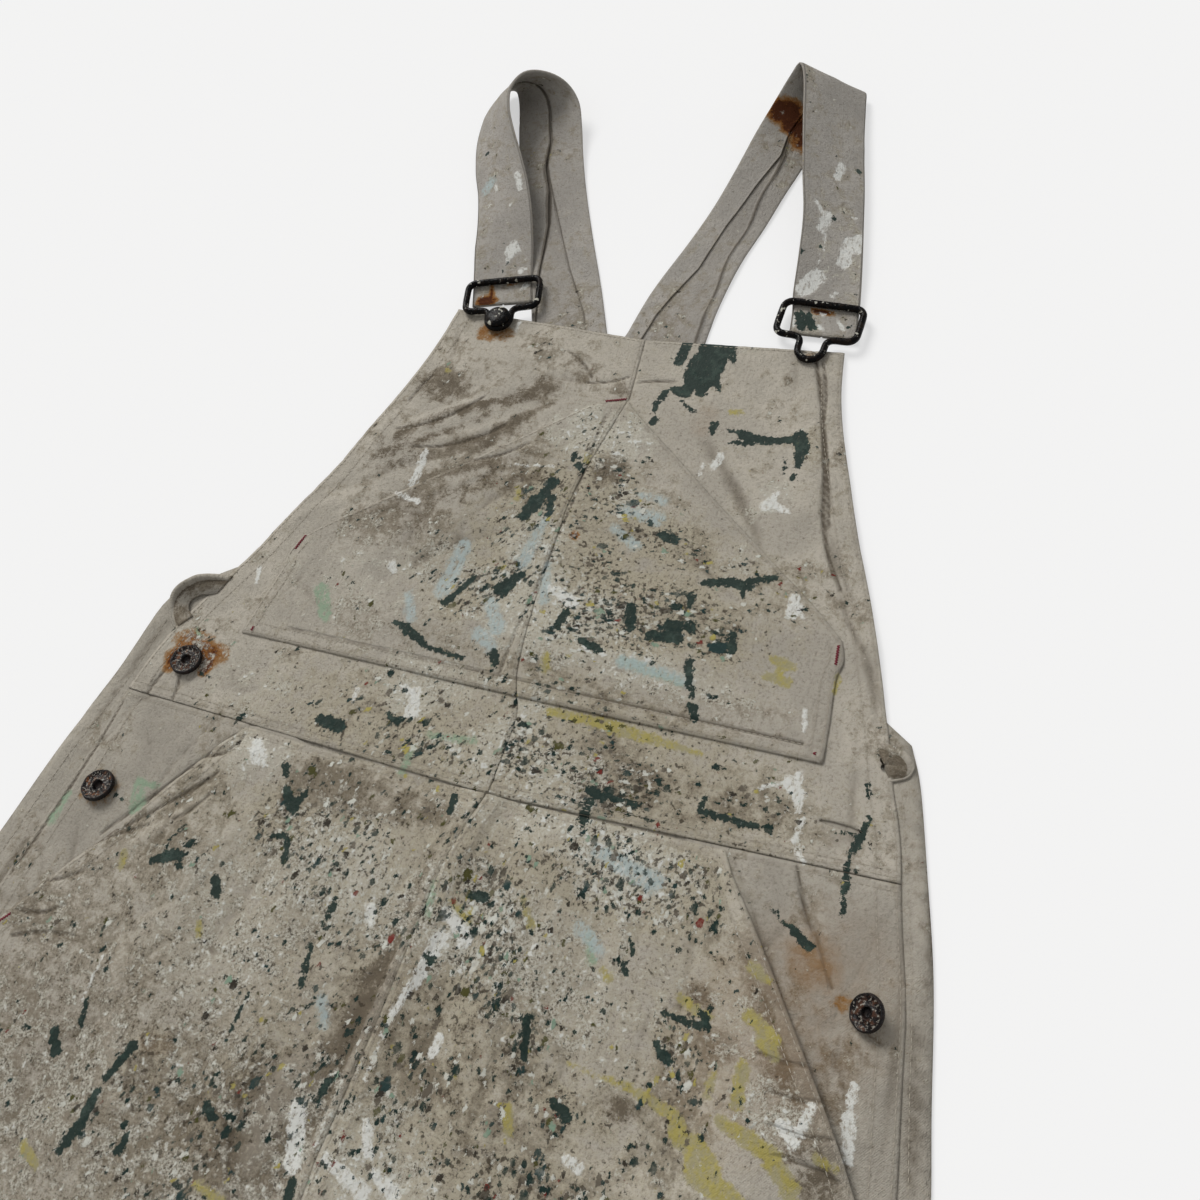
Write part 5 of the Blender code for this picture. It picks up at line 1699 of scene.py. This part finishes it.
# How far out from the rim, and the height as a share of the curl's, over a small base.
CURL_SECTION = ((1.7, 0.0, 1.4), (1.3, 0.50, 0.8), (0.6, 0.90, 0.0), (0.0, 1.0, 0.0),
                (-0.5, 0.93, 0.0), (-0.8, 0.62, 0.3), (-1.8, 0.25, 0.9), (-12.0, 0.0, 2.0))
CURL_STEPS = 30
curled = {}
for curl in CURLS:
    points, hollow = [], []
    for step in range(CURL_STEPS + 1):
        t = step / CURL_STEPS
        spot = row_at(curl.rim, t * (len(curl.rim) - 1))
        out = (spot - curl.focus) / np.linalg.norm(spot - np.array(curl.focus))
        rise = curl.height * math.sin(math.pi * min(max(t, 0.03), 0.97)) ** 0.45
        rise *= 1 - 0.95 * smooth_step(t, 0.45, 0.9)
        for away, share, base in CURL_SECTION:
            place = spot + out * away
            wave = 0.4 * soft_noise(np.array([place[0]]), np.array([place[1]]), 7, seed=6)[0]
            points.append((place[0], place[1], share * (rise + wave) + base + CLOTH))
            hollow.append(0.9 if -6 < away < -0.9 else 0.45 if away < -6 else 0.0)
    points, hollow = np.array(points), np.array(hollow)
    thing = new_piece("back_corner_" + curl.side, points,
                      quads(CURL_STEPS + 1, len(CURL_SECTION), around=False))
    set_vectors(thing, "cloth", points * (1, 1, 0))
    set_vectors(thing, "fall", points * (1, 1, 0))
    for name in (*(name for name, _ in PAINTS), "edge", "stitch"):
        set_values(thing, name, np.full(len(points), FAR))
    # The hollow behind the rim is painted dark as shade, through the fold and dirt values.
    set_values(thing, "fold", FOLD_FAR - 7.4 * hollow)
    set_values(thing, "grime", 0.1 + 0.8 * hollow)
    thing.data.materials.append(shaded_back_drill)
    wall = thing.modifiers.new("wall", "SOLIDIFY")
    wall.thickness, wall.offset = CLOTH * MM, -1 if curl.side == "left" else 1
    print(thing.name, "rises", curl.height, "mm")
    curled["back_" + curl.side] = thing

for panel in PANELS:
    corner = curled.get(panel.node)

# %% [markdown]
# ## Buckles and bib button
# The buckles are bent steel wire with black lacquer, and the knob on the bib is lacquered
# too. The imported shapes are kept, rounded and thickened by the lacquer. Their material adds
# rust and small spots of paint.

# %% Metal
def metal_material(name, steel, rusted, splash, amount):
    r = Recipe(name, Specular_IOR_Level=0.08)
    place = r.node("ShaderNodeTexCoord", output="Object")
    coarse = r.node("ShaderNodeTexNoise", {}, {"Vector": place, "Scale": 420, "Detail": 3.0})
    fine = r.node("ShaderNodeTexNoise", {}, {"Vector": place, "Scale": 1500, "Detail": 2.0})
    rust = coarse.step(0.48, 0.62)
    colour = r.mix(rust, steel, rusted)
    spots = r.node("ShaderNodeTexNoise", {}, {"Vector": place, "Scale": 260, "Detail": 3.0})
    paint = spots.step(0.66 - amount, 0.70 - amount)
    colour = r.mix(paint, colour, splash)
    return r.finish(colour, 0.17 + rust * 0.25 + paint * 0.3, coarse + fine * 0.4, 0.0004)


black_wire = metal_material("black_wire", (0.002, 0.002, 0.0022), (0.010, 0.006, 0.004),
                            (0.42, 0.41, 0.35), 0.035)
WELD_WITHIN = 0.00002   # corners this close are one, m
LACQUER = {"buckle": 0.00042, "bib_button": 0.0001}      # its thickness, m
for name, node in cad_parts.items():
    if name.startswith(tuple(LACQUER)):
        node.data.materials.clear()
        node.data.materials.append(black_wire)
        weld = node.modifiers.new("weld", "WELD")
        weld.merge_threshold = WELD_WITHIN
        rounding = node.modifiers.new("rounding", "SUBSURF")
        rounding.levels = rounding.render_levels = 2
        lacquer = node.modifiers.new("lacquer", "DISPLACE")
        lacquer.mid_level = 0
        lacquer.strength = LACQUER["buckle" if name.startswith("buckle") else "bib_button"]
        print(name, "kept and rounded")

# %% [markdown]
# ## Side buttons
# A trouser button is pressed from thin steel: a rolled rim, a flat dish and a deep eye where
# the tack holds it to the cloth. It is turned here from a profile, dented a little, and
# the one on the right is tilted by the cloth that pulls at it. The eye stays black, and the
# dish has rusted and caught some pale paint.

# %% Profile and steel of a button
Button = namedtuple("Button", "node share tilt towards rusty")
BUTTONS = (
    Button("side_button_left_upper", 0.93, 4, 60, 0.6),
    Button("side_button_left_lower", 0.93, 7, 100, 1.0),
    Button("side_button_right_lower", 0.84, 32, 200, 0.15),
)
# Radius and height as shares of the radius, from the eye over the rim to the underside.
BUTTON_PROFILE = ((0.00, 0.04), (0.20, 0.04), (0.25, 0.16), (0.29, 0.27), (0.36, 0.31),
                  (0.44, 0.27), (0.58, 0.22), (0.72, 0.24), (0.81, 0.33), (0.89, 0.38),
                  (0.96, 0.34), (1.00, 0.22), (0.98, 0.10), (0.90, 0.03), (0.00, 0.00))
BUTTON_SIDES = 40
button_recipe = Recipe("pressed_steel", Specular_IOR_Level=0.2)
dish = button_recipe.stored("dish")
rusty = dish * button_recipe.stored("rusty")
where = button_recipe.place("cloth")
blotch = button_recipe.noise(where, 3.0, 4.0, 0.7)
chip = button_recipe.noise(where, 1.6, 3.0, 0.7)
coat = button_recipe.mix(blotch.step(0.46, 0.60) * (0.25 + dish * 0.75), (0.005, 0.004, 0.004),
                         (0.045, 0.020, 0.012))
coat = button_recipe.mix(blotch.step(0.56, 0.66) * rusty, coat, (0.150, 0.052, 0.014))
coat = button_recipe.mix(chip.step(0.56, 0.62) * dish * 0.8, coat, (0.30, 0.28, 0.24))
pressed_steel = button_recipe.finish(coat, 0.25 + blotch.step(0.46, 0.6) * 0.35,
                                     blotch + chip * 0.6, 0.0005)
print("pressed steel with", len(pressed_steel.node_tree.nodes), "nodes")

# %% [markdown]
# Each button is set down where its solid lies, and then stands on its lowest point.

# %% Pressed buttons
for button in BUTTONS:
    low, high = (np.array(corner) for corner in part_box(button.node))
    middle = to_plan(((low + high) / 2)[None, :])[0]
    radius = (high[0] - low[0]) / 2 / MM * button.share
    base = low[2] / MM
    angle = np.arange(BUTTON_SIDES) * 2 * math.pi / BUTTON_SIDES
    points, dishes = [], []
    for share, rise in BUTTON_PROFILE[1:-1]:
        dent = soft_noise(share * 9 * np.cos(angle), share * 9 * np.sin(angle), 3.0, seed=9)
        ring = share * radius * (1 + 0.02 * dent)
        points.append(np.column_stack([ring * np.cos(angle), ring * np.sin(angle),
                                       (rise + 0.02 * dent) * radius]))
        dishes += [1.0 if 0.34 < share < 0.86 else 0.0] * BUTTON_SIDES
    for share, rise in (BUTTON_PROFILE[0], BUTTON_PROFILE[-1]):
        points.append(np.array([[0, 0, rise * radius]]))
        dishes.append(0.0)
    points = np.vstack(points)
    towards = math.radians(button.towards)
    axis = Vector((-math.sin(towards), math.cos(towards), 0))
    tilting = np.array(Matrix.Rotation(math.radians(button.tilt), 3, axis))
    points = points @ tilting.T
    points += (middle[0], middle[1], base - points[:, 2].min() + 0.2)
    faces, rings = [], len(BUTTON_PROFILE) - 2
    for k in range(BUTTON_SIDES):
        after = (k + 1) % BUTTON_SIDES
        for ring in range(rings - 1):
            a, b = ring * BUTTON_SIDES, (ring + 1) * BUTTON_SIDES
            faces.append((a + k, b + k, b + after, a + after))
        last = (rings - 1) * BUTTON_SIDES
        faces.append((rings * BUTTON_SIDES, k, after))
        faces.append((rings * BUTTON_SIDES + 1, last + after, last + k))
    thing = new_piece("pressed_" + button.node, points, faces)
    set_values(thing, "dish", dishes)
    set_values(thing, "rusty", [button.rusty] * len(dishes))
    set_vectors(thing, "cloth", points)
    thing.data.materials.append(pressed_steel)
    rounding = thing.modifiers.new("rounding", "SUBSURF")
    rounding.levels = rounding.render_levels = 1
    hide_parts(button.node)
    print(button.node, "radius", round(radius, 1), "mm, tilted", button.tilt, "degrees")

# %% [markdown]
# ## Table, light and camera
# The garment lies on a plain white table. The table is partly lit by itself wherever it is
# seen directly, mirrored or through something clear, so it stays plain and keeps only a
# soft shadow.

# %% Table
FLOOR = 0.90            # colour of the table
BACKDROP = 0.909        # colour of its own glow
SHADOW_LOSS = 0.6       # share of the glow in what is seen, which fades the shadow by as much
FLOOR_SINK = 0.0003     # the table lies this far under the garment, m
FAR_EDGE = 40           # how far the table reaches, m
floor_mesh = bpy.data.meshes.new("floor")
floor_mesh.from_pydata([(-FAR_EDGE, -FAR_EDGE, 0), (FAR_EDGE, -FAR_EDGE, 0),
                        (FAR_EDGE, FAR_EDGE, 0), (-FAR_EDGE, FAR_EDGE, 0)], [], [(0, 1, 2, 3)])
floor = bpy.data.objects.new("floor", floor_mesh)
floor.location.z = -FLOOR_SINK
bpy.context.scene.collection.objects.link(floor)
paper = Recipe("paper", Roughness=0.95, Specular_IOR_Level=0.0)
paper.give(paper.shader.inputs["Base Color"], (FLOOR, FLOOR, FLOOR, 1))
rays = paper.node("ShaderNodeLightPath", output="Is Camera Ray")
seen = (rays + rays.other("Is Glossy Ray") + rays.other("Is Transmission Ray")).clamped()
glow = paper.node("ShaderNodeEmission", {}, {"Color": (BACKDROP, BACKDROP, BACKDROP, 1)})
lit = Value(paper, paper.shader.outputs["BSDF"])
paper.give(paper.tree.nodes["Material Output"].inputs["Surface"],
           paper.node("ShaderNodeMixShader", {}, {0: seen * SHADOW_LOSS, 1: lit, 2: glow}))
floor_mesh.materials.append(paper.material)
print("table", 2 * FAR_EDGE, "m wide")

# %% [markdown]
# One broad light from the upper left and an even room show the folds without hard shadows.

# %% Light
ROOM_LIGHT = 0.48


def soft_sun(name, towards, strength, blur, colour):
    """A broad light from one direction; blur is its width in degrees."""
    data = bpy.data.lights.new(name, "SUN")
    data.energy = strength
    data.angle = math.radians(blur)
    data.color = colour
    light = bpy.data.objects.new(name, data)
    light.rotation_euler = Vector(towards).to_track_quat("Z", "Y").to_euler()
    bpy.context.scene.collection.objects.link(light)


soft_sun("key", (-0.60, 0.58, 0.80), 2.25, 26, (1.0, 0.99, 0.975))
world = bpy.data.worlds.new("room")
bpy.context.scene.world = world
world.use_nodes = True
world.node_tree.nodes["Background"].inputs["Color"].default_value = (1, 1, 1, 1)
world.node_tree.nodes["Background"].inputs["Strength"].default_value = ROOM_LIGHT
print("room light", ROOM_LIGHT)

# %% [markdown]
# The camera is above the right hip, looks down towards the bib and is rolled a little.

# %% Camera
EYE = (0.2484, 0.09076, 0.5793)
camera_data = bpy.data.cameras.new("camera")
camera_data.lens = 34.68
camera_data.sensor_width = 36
camera_data.clip_start = 0.02
camera = bpy.data.objects.new("camera", camera_data)
RIGHT = Vector((0.93185, 0.30403, -0.19804))
UP = Vector((-0.18010, 0.86139, 0.47494))
FORWARD = Vector((-0.31498, 0.40691, -0.85745))
turning = Matrix((RIGHT, UP, -FORWARD)).transposed().to_4x4()
camera.matrix_world = Matrix.Translation(EYE) @ turning
bpy.context.scene.collection.objects.link(camera)
bpy.context.scene.camera = camera
bpy.context.scene.view_settings.view_transform = "Standard"
print("camera at", [round(v, 3) for v in camera.location])

# %% [markdown]
# ## End

# %% End
print("scene built")
